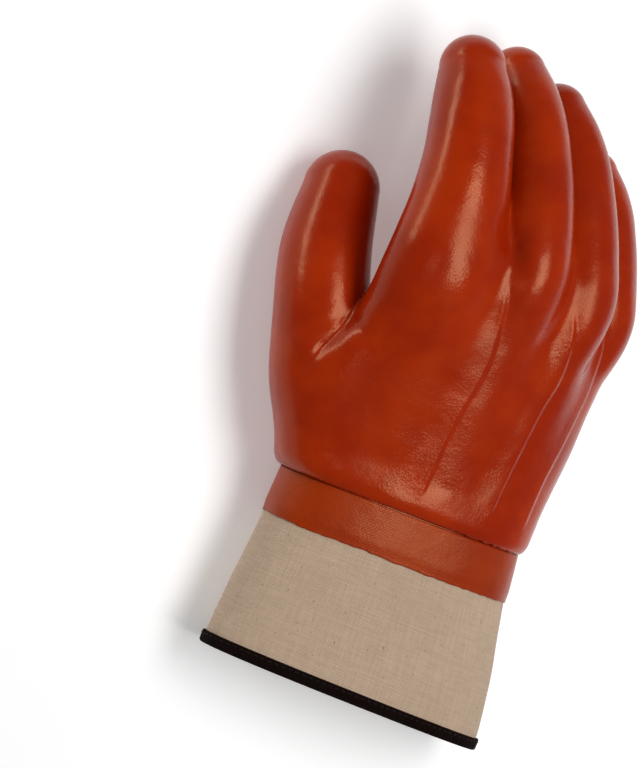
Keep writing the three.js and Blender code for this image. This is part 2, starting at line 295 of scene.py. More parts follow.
@dataclass
class Tube:
    """Round tube along a bent line, with rounded ends, as a distance from its skin."""

    rows: Array
    reach: float
    margin: float = 14.0
    chunk: int = 60000

    def __post_init__(self) -> None:
        """Parts the rows into columns and finds the box that holds the tube."""
        self.centres = self.rows[:, :3]
        normals = np.cross(self.rows[:, 6:9], self.rows[:, 3:6])
        self.normals = normals / np.linalg.norm(normals, axis=1)[:, None]
        self.offsets = (self.centres * self.normals).sum(1)
        thick = float(self.rows[:, 9:11].max()) + self.margin
        self.low = self.centres.min(0) - thick
        self.high = self.centres.max(0) + thick

    def distance(self, points: Array) -> Array:
        """Distance from the skin, minus inside.

        Args:
            points: Places in millimetres.

        Returns:
            One distance for each place, FAR where the tube is nowhere near.
        """
        found = np.full(len(points), FAR)
        near = np.flatnonzero(np.all((points > self.low) & (points < self.high), axis=1))
        for start in range(0, len(near), self.chunk):
            part = near[start:start + self.chunk]
            found[part] = self._near(points[part])
        return found

    def _near(self, p: Array) -> Array:
        """Distance for places near the tube.

        Args:
            p: Places in millimetres.

        Returns:
            One distance for each place.
        """
        ahead = p @ self.normals.T - self.offsets[None, :]
        last = len(self.centres) - 1
        k = np.clip((ahead > 0.0).sum(1) - 1, 0, last - 1)
        each = np.arange(len(p))
        here, there = ahead[each, k], ahead[each, k + 1]
        s = np.clip(here / np.maximum(here - there, 1e-6), 0.0, 1.0)[:, None]
        row = self.rows[k] * (1 - s) + self.rows[k + 1] * s
        off = p - row[:, :3]
        x = (off * row[:, 3:6]).sum(1)
        y = (off * row[:, 6:9]).sum(1)
        z = np.where(there > 0.0, there, np.minimum(here, 0.0))
        q = np.sqrt((x / row[:, 9])**2 + (y / row[:, 10])**2 + (z / self.reach)**2) + 1e-6
        return np.sqrt(x * x + y * y + z * z) * (1.0 - 1.0 / q)


def turned_axes(roll: float, splay: float, bend: float) -> tuple[Array, Array, Array]:
    """Axes of a finger at a bend.

    Args:
        roll: Degrees that the finger turns about its length.
        splay: Degrees sideways.
        bend: Degrees down.

    Returns:
        Unit vectors forwards, across and up.
    """
    r, side, turn = math.radians(roll), math.radians(splay), math.radians(bend)
    across0 = np.array([math.cos(r), 0.0, -math.sin(r)])
    up0 = np.array([math.sin(r), 0.0, math.cos(r)])
    ahead0 = np.array([0.0, 1.0, 0.0])
    straight = ahead0 * math.cos(side) + across0 * math.sin(side)
    across = across0 * math.cos(side) - ahead0 * math.sin(side)
    ahead = straight * math.cos(turn) - up0 * math.sin(turn)
    return ahead, across, up0 * math.cos(turn) + straight * math.sin(turn)


def palm_place(share: Sequence[float]) -> Array:
    """Place given as shares of the palm's width, length and height."""
    return np.array([share[0] * SIZES.palm_width, SIZES.cuff_length + share[1] * SIZES.palm_length,
                     share[2] * SIZES.palm_height])


def finger_tube(finger: Finger, steps: int = 6) -> Tube:
    """Smooth tube of a finger and its strip.

    Args:
        finger: The finger's sizes and pose.
        steps: Bends along the finger.

    Returns:
        The finger as a tube.
    """
    taper = np.array(FINGER_TAPER)
    along = np.linspace(0.0, 1.0, steps + 1)
    table = curve_through(taper[:, 0], taper[:, 1:], along)
    wide = finger.width * SIZES.finger_width * (table[:, 1] + finger.base * table[:, 0]) / 2
    deep = finger.depth * SIZES.finger_depth * table[:, 2] / 2
    knuckle, root = palm_place(finger.knuckle), palm_place(finger.root)
    first = turned_axes(finger.roll, finger.splay, finger.flex)
    reach = finger.width * SIZES.finger_width * SIZES.tip_roundness
    stride = (finger.length - reach) / steps
    rows = []
    for share, spread, thick in ((0.0, 1.12, 0.90), (0.5, 1.06, 0.95)):
        rows.append([*(root + share * (knuckle - root)), *first[1], *first[2],
                     wide[0] * spread, deep[0] * thick])
    centre = knuckle.copy()
    for k, share in enumerate(along):
        axes = turned_axes(finger.roll, finger.splay, finger.flex + finger.curl * share**1.3)
        if k:
            centre = centre + axes[0] * stride
        rows.append([*centre, *axes[1], *axes[2], wide[k], deep[k]])
    return tube_through(np.array(rows), reach)


def tube_through(rows: Array, reach: float, spacing: float = 1.6) -> Tube:
    """Tube through rows of centre, across, up, half width and half depth.

    Args:
        rows: One row for each ring.
        reach: Length of the rounded end.
        spacing: Distance between two rows of the smooth tube.

    Returns:
        The smooth tube.
    """
    keys = run_lengths(rows[:, :3])
    return Tube(curve_through(keys, rows, np.linspace(0.0, keys[-1], int(keys[-1] / spacing) + 1)), reach)


def thumb_tube(roll: float = -20.0) -> Tube:
    """Smooth tube of the thumb."""
    rows = np.array(THUMB_ROWS)
    centres = np.column_stack([rows[:, 0] * SIZES.palm_width,
                               SIZES.cuff_length + rows[:, 1] * SIZES.thumb_length,
                               rows[:, 2] * SIZES.palm_height])
    lift = np.array([math.sin(math.radians(roll)), 0.0, math.cos(math.radians(roll))])
    table = []
    for k, row in enumerate(rows):
        ahead = centres[min(k + 1, len(rows) - 1)] - centres[max(k - 1, 0)]
        ahead = ahead / np.linalg.norm(ahead)
        up = lift - ahead * (ahead @ lift)
        up = up / np.linalg.norm(up)
        across = np.cross(ahead, up)
        table.append([*centres[k], *across, *up,
                      row[3] * SIZES.thumb_width / 2, row[4] * SIZES.thumb_depth / 2])
    return tube_through(np.array(table), SIZES.thumb_width * SIZES.tip_roundness)


def flare_at(along: Array) -> Array:
    """Swell of the cuff at shares of the way from the hem to the wrist."""
    table = np.array(FLARE)
    return np.clip(curve_through(table[:, 0], table[:, 1:], np.atleast_1d(along))[:, 0], 0.0, 1.0)


@dataclass(frozen=True)
class CuffSection:
    """Flattened tube sections of the cuff at many places along it."""

    x: Array
    z: Array
    half: Array
    top: Array
    bottom: Array
    slant: Array
    lean: Array


def cuff_section(y: Array) -> CuffSection:
    """Sections of the canvas at distances from the hem.

    Args:
        y: Distances from the hem in millimetres.

    Returns:
        The sections.
    """
    swell = flare_at(np.clip(np.atleast_1d(y) / SIZES.cuff_length, 0.0, 1.0))

    def blend(a: float, b: float) -> Array:
        """Value between the hem's and the wrist's."""
        return a + (b - a) * swell

    height = blend(SIZES.hem_height, SIZES.wrist_height)
    bottom = height * SIZES.cuff_belly
    return CuffSection(
        x=blend(SIZES.hem_offset, SIZES.wrist_offset), z=blend(SIZES.tape_gap, SIZES.wall_gap) + bottom,
        half=blend(SIZES.hem_width, SIZES.wrist_width) / 2, top=height - bottom, bottom=bottom,
        slant=blend(SIZES.hem_slant, SIZES.wrist_slant), lean=blend(SIZES.hem_lean, 0.0))


@dataclass
class Palm:
    """Palm and back of the hand as one flattened tube."""

    round_end: float = 14.0
    sink: float = 7.0

    def __post_init__(self) -> None:
        """Makes the dense table of sections."""
        s = SIZES
        wrist = cuff_section(np.array([s.cuff_length]))
        flat = s.cuff_flat
        wall = s.wall_gap
        start = [float(wrist.x[0]), float(wrist.half[0]) + wall, float(wrist.z[0]),
                 float(wrist.top[0]) + wall, float(wrist.bottom[0]) + wall, flat, 0.0]
        ys = [s.cuff_length - 20.0, s.cuff_length + s.tuck + s.gap]
        rows = [start, start]
        for along, across, half, centre, top, bottom, flat_share, roll in PALM_ROWS:
            ys.append(s.cuff_length + along * s.palm_length)
            rows.append([across * s.palm_width, half * s.palm_width, centre * s.palm_height,
                         top * s.palm_height, bottom * s.palm_height, flat_share, math.radians(roll)])
        self.end = ys[-1]
        self.ys = np.linspace(ys[0], ys[-1], 160)
        self.table = curve_through(np.array(ys), np.array(rows), self.ys)

    def distance(self, points: Array) -> Array:
        """Distance from the skin of the palm, minus inside.

        Args:
            points: Places in millimetres.

        Returns:
            One distance for each place.
        """
        y = points[:, 1] + SIZES.wrist_slant * points[:, 0]
        x0, half, z0, top, bottom, flat, roll = (np.interp(y, self.ys, self.table[:, k]) for k in range(7))
        dx, dz = points[:, 0] - x0, points[:, 2] - z0
        x = np.abs(dx * np.cos(roll) - dz * np.sin(roll))
        z = dx * np.sin(roll) + dz * np.cos(roll)
        p = SIZES.fullness
        q = ((x / half)**p + (np.abs(z) / top)**p)**(1.0 / p) + 1e-6
        above = np.sqrt(x * x + z * z) * (1.0 - 1.0 / q)
        flat_half = half * flat
        side = np.maximum(x - flat_half, 0.0)
        q = np.sqrt((side / (half - flat_half))**2 + (z / bottom)**2) + 1e-6
        below = np.sqrt(side * side + z * z) * (1.0 - 1.0 / q)
        towards_end = smoothstep(self.end - 34.0, self.end - 4.0, points[:, 1])
        sunk = self.sink * towards_end * smoothstep(-6.0, 6.0, z)
        skin = np.where(z >= 0.0, above, below) + sunk
        return soft_max(skin, points[:, 1] - self.end, self.round_end)


@dataclass(frozen=True)
class Swelling:
    """Soft bump, plus, or dent, minus, in the skin."""

    place: tuple[float, float, float]
    spread: tuple[float, float, float]
    height: float
    turn: float = 0.0

    def at(self, points: Array) -> Array:
        """Height of the swelling at each place.

        Args:
            points: Places in millimetres.

        Returns:
            Heights in millimetres.
        """
        off = points - np.array(self.place)
        c, s = math.cos(math.radians(self.turn)), math.sin(math.radians(self.turn))
        x = off[:, 0] * c + off[:, 1] * s
        y = off[:, 1] * c - off[:, 0] * s
        a, b, d = self.spread
        return self.height * np.exp(-0.5 * ((x / a)**2 + (y / b)**2 + (off[:, 2] / d)**2))


SWELLINGS = (
    Swelling((-73.0, 138.0, 49.0), (6.0, 3.0, 8.0), 1.2, -15.0),
    Swelling((-32.0, 171.0, 77.0), (14.0, 15.0, 13.0), 2.6),
    Swelling((-60.0, 134.0, 54.0), (9.0, 11.0, 9.0), 1.2),
    Swelling((-61.0, 149.0, 55.0), (4.5, 8.0, 9.0), 1.8),
    Swelling((1.0, 205.0, 80.0), (7.0, 12.0, 10.0), 1.0),
    Swelling((30.0, 207.0, 69.0), (6.0, 12.0, 10.0), 0.8),
    Swelling((-24.0, 216.0, 80.0), (3.5, 5.0, 7.0), -1.1),
    Swelling((-14.0, 209.0, 74.0), (3.0, 5.0, 7.0), -1.4),
    Swelling((-38.0, 106.0, 58.0), (12.0, 5.0, 10.0), -0.7),
    Swelling((-56.0, 100.0, 45.0), (7.0, 6.0, 9.0), 0.9),
)


# How far along the glove the gaps beside the fingers begin
CROTCHES = (204.0, 223.0, 226.0, 214.0)


@dataclass(frozen=True)
class SeamForm:
    """Relief of one seam: its ridge, the lap that stands on its left and the fold on its right."""

    crest: float
    step: float
    valley: float


SEAM_FORMS = (SeamForm(0.50, 0.45, 0.50), SeamForm(0.45, 0.50, 0.70), SeamForm(0.40, 0.50, 0.35))

# The fold between the thumb and the back of the hand
THUMB_FOLD = ((-61.8, 162.0), (-65.0, 154.5), (-68.4, 147.0), (-71.5, 139.0), (-73.8, 131.0), (-76.0, 124.0))


class Hand:
    """The whole coated hand as one distance, and its seams."""

    def __init__(self) -> None:
        """Makes the forms and lays the seams on them."""
        self.palm = Palm()
        self.fingers = [finger_tube(finger) for finger in FINGERS]
        self.thumb = thumb_tube()
        self.broad = Ripple(11, 26.0)
        self.fine = Ripple(12, 9.0)
        self.lip = 6.5
        self.seams = [self._seam(points) for points in SEAMS]

    def base(self, points: Array) -> Array:
        """Distance from the plain outside of the hand, minus inside.

        Args:
            points: Places in millimetres.

        Returns:
            One distance for each place.
        """
        y = points[:, 1]
        skin = self.palm.distance(points)
        for finger, crotch in zip(self.fingers, CROTCHES):
            reach = 11.0 - 9.2 * smoothstep(crotch - 24.0, crotch + 2.0, y)
            skin = soft_min(skin, finger.distance(points), reach)
        thumb_reach = 15.0 - 13.6 * smoothstep(148.0, 165.0, y)
        skin = soft_min(skin, self.thumb.distance(points), thumb_reach)
        return soft_max(skin, -points[:, 2], 1.0)

    def relief(self, points: Array) -> Array:
        """Height of the dents, bumps and ripples of the coat at each place.

        Args:
            points: Places in millimetres.

        Returns:
            Heights in millimetres.
        """
        height = 0.30 * self.broad.at(points) + 0.10 * self.fine.at(points)
        for swelling in SWELLINGS:
            height = height + swelling.at(points)
        return (height + self.fold(points)) * smoothstep(0.3, 4.0, points[:, 2])

    def fold(self, points: Array) -> Array:
        """Depth of the fold beside the thumb at each place, minus into the glove.

        Args:
            points: Places in millimetres.

        Returns:
            Depths in millimetres.
        """
        line = even_line(np.array(THUMB_FOLD), 60)
        depth = np.zeros(len(points))
        flat = points[:, :2]
        near = np.flatnonzero(np.all((flat > line.min(0) - 14.0) & (flat < line.max(0) + 14.0), axis=1))
        if not len(near):
            return depth
        square = (line**2).sum(1)[None, :] - 2.0 * flat[near] @ line.T
        k = square.argmin(1)
        gap = np.sqrt(np.maximum(square[np.arange(len(near)), k] + (flat[near]**2).sum(1), 0.0))
        share = k / (len(line) - 1.0)
        fade = (smoothstep(0.0, 0.2, share) * (1.0 - smoothstep(0.5, 1.0, share))
                * smoothstep(34.0, 42.0, points[near, 2]))
        depth[near] = -fade * (1.5 * np.exp(-0.5 * (gap / 1.2)**2) + 1.0 * np.exp(-0.5 * (gap / 3.8)**2))
        return depth

    def ridge(self, points: Array) -> Array:
        """Height of the seams under the coat at each place.

        Args:
            points: Places in millimetres.

        Returns:
            Heights in millimetres.
        """
        height = np.zeros(len(points))
        for (line, left), form in zip(self.seams, SEAM_FORMS):
            low, high = line.min(0) - 16.0, line.max(0) + 16.0
            near = np.flatnonzero(np.all((points > low) & (points < high), axis=1))
            if not len(near):
                continue
            p = points[near]
            square = (line**2).sum(1)[None, :] - 2.0 * p @ line.T
            k = square.argmin(1)
            off = p - line[k]
            gap = np.sqrt((off * off).sum(1))
            side = (off * left[k]).sum(1)
            ends = smoothstep(0.0, 20.0, k.astype(float)) * smoothstep(0.0, 14.0, float(len(line) - 1) - k)
            crest = form.crest * np.exp(-0.5 * (gap / 0.8)**2)
            lap = 0.5 + 0.5 * np.tanh(side / 0.9)
            step = form.step * lap * np.exp(-0.5 * (gap / 5.0)**2)
            valley = -form.valley * (1.0 - lap) * np.exp(-0.5 * (gap / 4.0)**2)
            height[near] += ends * (crest + step + valley)
        return height

    def solid(self, points: Array) -> Array:
        """Distance from the hollow shell's surface, minus in its wall.

        Args:
            points: Places in millimetres.

        Returns:
            One distance for each place.
        """
        base = self.base(points)
        skin = self._with_lip(points, base - self.relief(points) - self.ridge(points))
        return np.maximum(skin, -(base + SIZES.shell))

    def _with_lip(self, points: Array, skin: Array) -> Array:
        """Rounds the wall off towards the wrist seam, down to its inner face.

        Args:
            points: Places in millimetres.
            skin: Distances from the outside of the hand.

        Returns:
            Distances with the rolled lip.
        """
        y = points[:, 1] + SIZES.wrist_slant * points[:, 0]
        inward = np.maximum(skin / SIZES.shell + 1.0, 0.0)
        back = np.maximum(SIZES.cuff_length + self.lip - y, 0.0) / self.lip
        rounded = (np.sqrt(inward**2 + back**2) - 1.0) * SIZES.shell
        return np.where(back > 0.0, rounded, skin)

    def _seam(self, shares: Sequence[tuple[float, float]]) -> tuple[Array, Array]:
        """Lays a seam on the back of the hand.

        Args:
            shares: Places across and along the palm.

        Returns:
            Points on the skin, and the direction towards the seam's left at each.
        """
        flat = [[a * SIZES.palm_width, SIZES.cuff_length + b * SIZES.palm_length] for a, b in shares]
        line = even_line(np.array(flat), 110)
        low, high = np.full(len(line), 25.0), np.full(len(line), 110.0)
        for _ in range(26):
            middle = (low + high) / 2
            inside = self.base(np.column_stack([line, middle])) < 0.0
            low, high = np.where(inside, middle, low), np.where(inside, high, middle)
        points = np.column_stack([line, low])
        ahead = np.gradient(points, axis=0)
        left = np.cross(ahead, np.array([0.0, 0.0, 1.0]))
        left = np.cross(ahead, left)
        left = np.cross(left, ahead)
        return points, left / np.linalg.norm(left, axis=1)[:, None]


# Skin of a distance as a mesh


@dataclass(frozen=True)
class SkinNet:
    """Closed mesh of quads over a distance."""

    low: tuple[float, float, float]
    high: tuple[float, float, float]
    cell: float
    block: int = 4
    band: float = 9.0

    def grid(self, form: Callable[[Array], Array]) -> tuple[Array, Array]:
        """Distances on a fine grid, worked out only near the skin.

        Args:
            form: The distance.

        Returns:
            The grid's lowest corner and its values.
        """
        low = np.array(self.low)
        counts = np.ceil((np.array(self.high) - low) / (self.cell * self.block)).astype(int)
        wide = self.cell * self.block
        places = [low[a] + wide * (np.arange(counts[a]) + 0.5) for a in range(3)]
        coarse = form(np.stack(np.meshgrid(*places, indexing="ij"), -1).reshape(-1, 3)).reshape(counts)
        values = coarse.repeat(self.block, 0).repeat(self.block, 1).repeat(self.block, 2)
        near = np.flatnonzero(np.abs(values) < self.band)
        cells = np.stack(np.unravel_index(near, values.shape), -1)
        values.reshape(-1)[near] = form(low + cells * self.cell)
        return low, values

    def mesh(self, form: Callable[[Array], Array]) -> tuple[Array, Array]:
        """Vertices and quads of the skin.

        Args:
            form: The distance.

        Returns:
            Vertices in millimetres and quads facing outwards.
        """
        low, v = self.grid(form)
        corners = [(i, j, k) for i in (0, 1) for j in (0, 1) for k in (0, 1)]
        n = np.array(v.shape)

        def shifted(c: tuple[int, int, int]) -> Array:
            """Values at one corner of every cell."""
            return v[c[0]:n[0] - 1 + c[0], c[1]:n[1] - 1 + c[1], c[2]:n[2] - 1 + c[2]]

        signs = np.stack([shifted(c) < 0 for c in corners])
        mixed = np.flatnonzero((signs.any(0) & ~signs.all(0)).reshape(-1))
        cell = np.stack(np.unravel_index(mixed, tuple(n - 1)), -1)
        at = {c: v[cell[:, 0] + c[0], cell[:, 1] + c[1], cell[:, 2] + c[2]] for c in corners}
        total, count = np.zeros((len(cell), 3)), np.zeros(len(cell))
        for a in corners:
            for axis in range(3):
                if a[axis]:
                    continue
                b = tuple(1 if k == axis else a[k] for k in range(3))
                va, vb = at[a], at[b]
                cross = (va < 0) != (vb < 0)
                t = np.where(cross, va / np.where(cross, va - vb, 1.0), 0.0)
                place = np.array(a, float)[None, :] + t[:, None] * np.eye(3)[axis]
                total += place * cross[:, None]
                count += cross
        vertices = low + (cell + total / count[:, None]) * self.cell
        index = np.full(tuple(n - 1), -1)
        index[cell[:, 0], cell[:, 1], cell[:, 2]] = np.arange(len(cell))
        quads = []
        for axis in range(3):
            first, second = (axis + 1) % 3, (axis + 2) % 3
            size = n.copy()
            size[axis] -= 1
            start = v[:size[0], :size[1], :size[2]] < 0
            end = np.moveaxis(np.moveaxis(v, axis, 0)[1:], 0, axis) < 0
            nodes = np.stack(np.nonzero(start != end), -1)
            nodes = nodes[(nodes[:, first] > 0) & (nodes[:, second] > 0)
                          & (nodes[:, first] < n[first] - 1) & (nodes[:, second] < n[second] - 1)]
            ring = []
            for da, db in ((-1, -1), (0, -1), (0, 0), (-1, 0)):
                k = nodes.copy()
                k[:, first] += da
                k[:, second] += db
                ring.append(index[k[:, 0], k[:, 1], k[:, 2]])
            quad = np.stack(ring, -1)
            outward = start[nodes[:, 0], nodes[:, 1], nodes[:, 2]]
            quads.append(np.where(outward[:, None], quad, quad[:, ::-1]))
        return vertices, np.vstack(quads)


def settle(points: Array, form: Callable[[Array], Array], rounds: int, most: float) -> Array:
    """Moves points onto the skin of a distance.

    Args:
        points: Places near the skin.
        form: The distance.
        rounds: Steps to take.
        most: Longest step.

    Returns:
        Places on the skin.
    """
    tiny = 0.04
    for _ in range(rounds):
        value = form(points)
        slope = np.stack([(form(points + tiny * np.eye(3)[k]) - value) / tiny for k in range(3)], -1)
        step = value[:, None] * slope / np.maximum((slope**2).sum(1), 0.05)[:, None]
        length = np.linalg.norm(step, axis=1)[:, None]
        points = points - step * np.minimum(1.0, most / np.maximum(length, 1e-9))
    return points


def relax(points: Array, quads: Array, share: float) -> Array:
    """Moves each point towards the middle of its neighbours by a share.

    Args:
        points: Places of the vertices.
        quads: Faces as rows of vertex numbers.
        share: Share of the way to move.

    Returns:
        The moved places.
    """
    ends = np.vstack([quads[:, [0, 1]], quads[:, [1, 2]], quads[:, [2, 3]], quads[:, [3, 0]]])
    total = np.zeros_like(points)
    count = np.bincount(ends[:, 0], minlength=len(points)) + np.bincount(ends[:, 1], minlength=len(points))
    for axis in range(3):
        total[:, axis] = (np.bincount(ends[:, 0], points[ends[:, 1], axis], len(points))
                          + np.bincount(ends[:, 1], points[ends[:, 0], axis], len(points)))
    return points + share * (total / np.maximum(count, 1)[:, None] - points)


# Place of the drawn glove in the row's frame


def row_shift() -> Array:
    """Shift from the glove's own frame to the row's, in millimetres, found from the hem's tape."""
    outer = tape_ring(0.0, -SIZES.gap)
    low = np.array(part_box("hem_binding")[0]) / MILLI
    edge = tape_ring(SIZES.tape, -SIZES.gap - SIZES.tape)
    return np.array([low[0] - edge[:, 0].min(), low[1] - outer[:, 1].min(), 0.0])


def tube_ring(y: Array, angle: Array, inset: Array | float) -> Array:
    """Points of the cuff's tube.

    Args:
        y: Distances from the hem.
        angle: Angles about the tube, in radians.
        inset: Distances drawn in from the canvas's outside.

    Returns:
        Places in the glove's own frame.
    """
    sec = cuff_section(y)
    cos, sin = np.cos(angle), np.sin(angle)
    power = 2.0 / SIZES.fullness
    x = (sec.half - inset) * np.sign(cos) * np.abs(cos)**power
    z = (sec.top - inset) * np.abs(sin)**power
    flat_half = sec.half * SIZES.cuff_flat
    turn = np.where(angle < 1.5 * np.pi, angle - np.pi, 2 * np.pi - angle)
    corner_share = 0.7
    bend = np.clip(turn / (corner_share * np.pi / 2), 0.0, 1.0) * np.pi / 2
    side = np.where(angle < 1.5 * np.pi, -1.0, 1.0)
    rest = 1.0 - np.clip((turn / (np.pi / 2) - corner_share) / (1 - corner_share), 0.0, 1.0)
    below_x = side * (flat_half * rest + (sec.half - flat_half - inset) * np.cos(bend))
    below_z = -(sec.bottom - inset) * np.sin(bend)
    under = angle > np.pi
    x, z = np.where(under, below_x, x), np.where(under, below_z, z)
    return np.stack([sec.x + x, y - sec.slant * x + sec.lean * z, sec.z + z], -1)


def tape_ring(y: float, inset: float, count: int = 720) -> Array:
    """Ring of the hem at one distance and inset."""
    angle = np.linspace(0.0, 2 * np.pi, count, endpoint=False)
    return tube_ring(np.full(count, y), angle, inset)


def even_angles(y: float, count: int, dense: int = 4000) -> Array:
    """Angles about the cuff that part its ring evenly.

    Args:
        y: Distance from the hem.
        count: Parts of the ring.
        dense: Samples to measure with.

    Returns:
        Angles in radians.
    """
    angle = np.linspace(0.0, 2 * np.pi, dense + 1)
    ring = tube_ring(np.full(dense + 1, y), np.minimum(angle, 2 * np.pi - 1e-9), 0.0)
    length = run_lengths(ring)
    return np.interp(np.linspace(0.0, length[-1], count, endpoint=False), length, angle)


SHIFT = row_shift()


def new_object(name: str, points: Array, faces: Sequence[Sequence[int]]) -> bpy.types.Object:
    """Mesh object with its place in its mesh.

    Args:
        name: The piece's name.
        points: Places in the glove's own frame, in millimetres.
        faces: Faces as rows of vertex numbers.

    Returns:
        The new object at the origin.
    """
    mesh = bpy.data.meshes.new(name)
    mesh.from_pydata(((points + SHIFT) * MILLI).tolist(), [], [list(map(int, face)) for face in faces])
    mesh.polygons.foreach_set("use_smooth", [True] * len(mesh.polygons))
    mesh.update()
    piece = bpy.data.objects.new(name, mesh)
    bpy.context.scene.collection.objects.link(piece)
    return piece


def wrapped_quads(rows: int, columns: int, closed_rows: bool = False) -> list[tuple[int, int, int, int]]:
    """Quads of a grid whose columns close on themselves.

    Args:
        rows: Rows of the grid.
        columns: Columns of the grid.
        closed_rows: Whether the last row joins the first.

    Returns:
        Quads as vertex numbers.
    """
    quads = []
    for r in range(rows if closed_rows else rows - 1):
        s = (r + 1) % rows
        for c in range(columns):
            d = (c + 1) % columns
            quads.append((r * columns + c, r * columns + d, s * columns + d, s * columns + c))
    return quads


def lay_cloth_map(piece: bpy.types.Object, ring: Array, along: Array) -> None:
    """Lays a map named cloth, in tenths of a metre, on a piece made of rings.

    Args:
        piece: The piece, with its points ring by ring.
        ring: The ring that gives the distances round it.
        along: Distance of each ring.
    """
    round_it = run_lengths(np.vstack([ring, ring[:1]]))
    columns = len(ring)
    layer = piece.data.uv_layers.new(name="cloth")
    for face in piece.data.polygons:
        places = [divmod(piece.data.loops[k].vertex_index, columns) for k in face.loop_indices]
        wrap = max(c for _, c in places) - min(c for _, c in places) > 1
        for k, (r, c) in zip(face.loop_indices, places):
            layer.data[k].uv = (round_it[columns if wrap and c == 0 else c] / 100.0, along[r] / 100.0)


def turn_outwards(piece: bpy.types.Object) -> None:
    """Turns the faces of a closed piece outwards.

    Args:
        piece: The piece to turn.
    """
    work = bmesh.new()
    work.from_mesh(piece.data)
    bmesh.ops.recalc_face_normals(work, faces=work.faces)
    work.to_mesh(piece.data)
    work.free()


def run_modifier(piece: bpy.types.Object) -> None:
    """Turns a piece with modifiers into a plain mesh.

    Args:
        piece: The piece to make plain.
    """
    depsgraph = bpy.context.evaluated_depsgraph_get()
    mesh = bpy.data.meshes.new_from_object(piece.evaluated_get(depsgraph))
    piece.modifiers.clear()
    old = piece.data
    piece.data = mesh
    bpy.data.meshes.remove(old)


# Shader node helpers and shared effects


class Shade:
    """Short way to build a material's or a group's nodes."""

    def __init__(self, tree: bpy.types.NodeTree) -> None:
        """Keeps the tree to build in."""
        self.tree = tree

    def node(self, kind: str, inputs: dict[str | int, object] | None = None,
             **settings: object) -> bpy.types.Node:
        """Adds a node.

        Args:
            kind: The node's type name.
            inputs: Values or sockets for its inputs.
            **settings: Properties of the node.

        Returns:
            The node.
        """
        made = self.tree.nodes.new(kind)
        for name, value in settings.items():
            setattr(made, name, value)
        for key, value in (inputs or {}).items():
            self.feed(made.inputs[key], value)
        return made

    def feed(self, socket: bpy.types.NodeSocket, value: object) -> None:
        """Links a socket to another, or sets its value."""
        if isinstance(value, bpy.types.NodeSocket):
            self.tree.links.new(value, socket)
        else:
            socket.default_value = value

    def math(self, operation: str, a: object, b: object = 0.0) -> bpy.types.NodeSocket:
        """Result of a Math node."""
        return self.node("ShaderNodeMath", {0: a, 1: b}, operation=operation).outputs[0]

    def spread(self, value: object, low: float, high: float, to_low: float,
               to_high: float) -> bpy.types.NodeSocket:
        """Value moved from one range to another, held inside it."""
        made = self.node("ShaderNodeMapRange", {"Value": value, "From Min": low, "From Max": high,
                                                "To Min": to_low, "To Max": to_high},
                         interpolation_type="SMOOTHSTEP")
        return made.outputs["Result"]

    def mix(self, share: object, a: object, b: object) -> bpy.types.NodeSocket:
        """Colour between two colours."""
        made = self.node("ShaderNodeMix", data_type="RGBA")
        self.feed(made.inputs["Factor"], share)
        self.feed(made.inputs["A"], a)
        self.feed(made.inputs["B"], b)
        return made.outputs["Result"]

    def noise(self, vector: object, scale: float, detail: float = 2.0,
              roughness: float = 0.5) -> bpy.types.NodeSocket:
        """Noise value at a place."""
        made = self.node("ShaderNodeTexNoise", {"Vector": vector, "Scale": scale, "Detail": detail,
                                                "Roughness": roughness})
        return made.outputs["Fac"]


def new_group(name: str, inputs: dict[str, float], outputs: Sequence[str], vector: bool = True) -> tuple[
        bpy.types.NodeTree, Shade, bpy.types.Node, bpy.types.Node]:
    """Shader group with named inputs and outputs.

    Args:
        name: The group's name.
        inputs: Names and default values of its number inputs.
        outputs: Names of its number outputs.
        vector: Whether it has a Vector input first.

    Returns:
        The tree, its builder, its input node and its output node.
    """
    tree = bpy.data.node_groups.new(name, "ShaderNodeTree")
    if vector:
        tree.interface.new_socket(name="Vector", in_out="INPUT", socket_type="NodeSocketVector")
    for key, value in inputs.items():
        socket = tree.interface.new_socket(name=key, in_out="INPUT", socket_type="NodeSocketFloat")
        socket.default_value = value
    for key in outputs:
        tree.interface.new_socket(name=key, in_out="OUTPUT", socket_type="NodeSocketFloat")
    return tree, Shade(tree), tree.nodes.new("NodeGroupInput"), tree.nodes.new("NodeGroupOutput")


def poured_skin_group() -> bpy.types.NodeTree:
    """Fine skin of a poured coat: Height, and a Mottle mask."""
    inputs = {"Pore Scale": 900.0, "Wave Scale": 160.0, "Pores": 0.5}
    tree, shade, start, end = new_group("poured_skin", inputs, ("Height", "Mottle"))
    place = start.outputs["Vector"]
    pores = shade.noise(place, 1.0, 2.0, 0.6)
    shade.feed(pores.node.inputs["Scale"], start.outputs["Pore Scale"])
    waves = shade.noise(place, 1.0, 1.0, 0.5)
    shade.feed(waves.node.inputs["Scale"], start.outputs["Wave Scale"])
    fine = shade.math("MULTIPLY", pores, start.outputs["Pores"])
    shade.feed(end.inputs["Height"], shade.math("ADD", fine, waves))
    shade.feed(end.inputs["Mottle"], shade.noise(place, 28.0, 3.0, 0.6))
    return tree


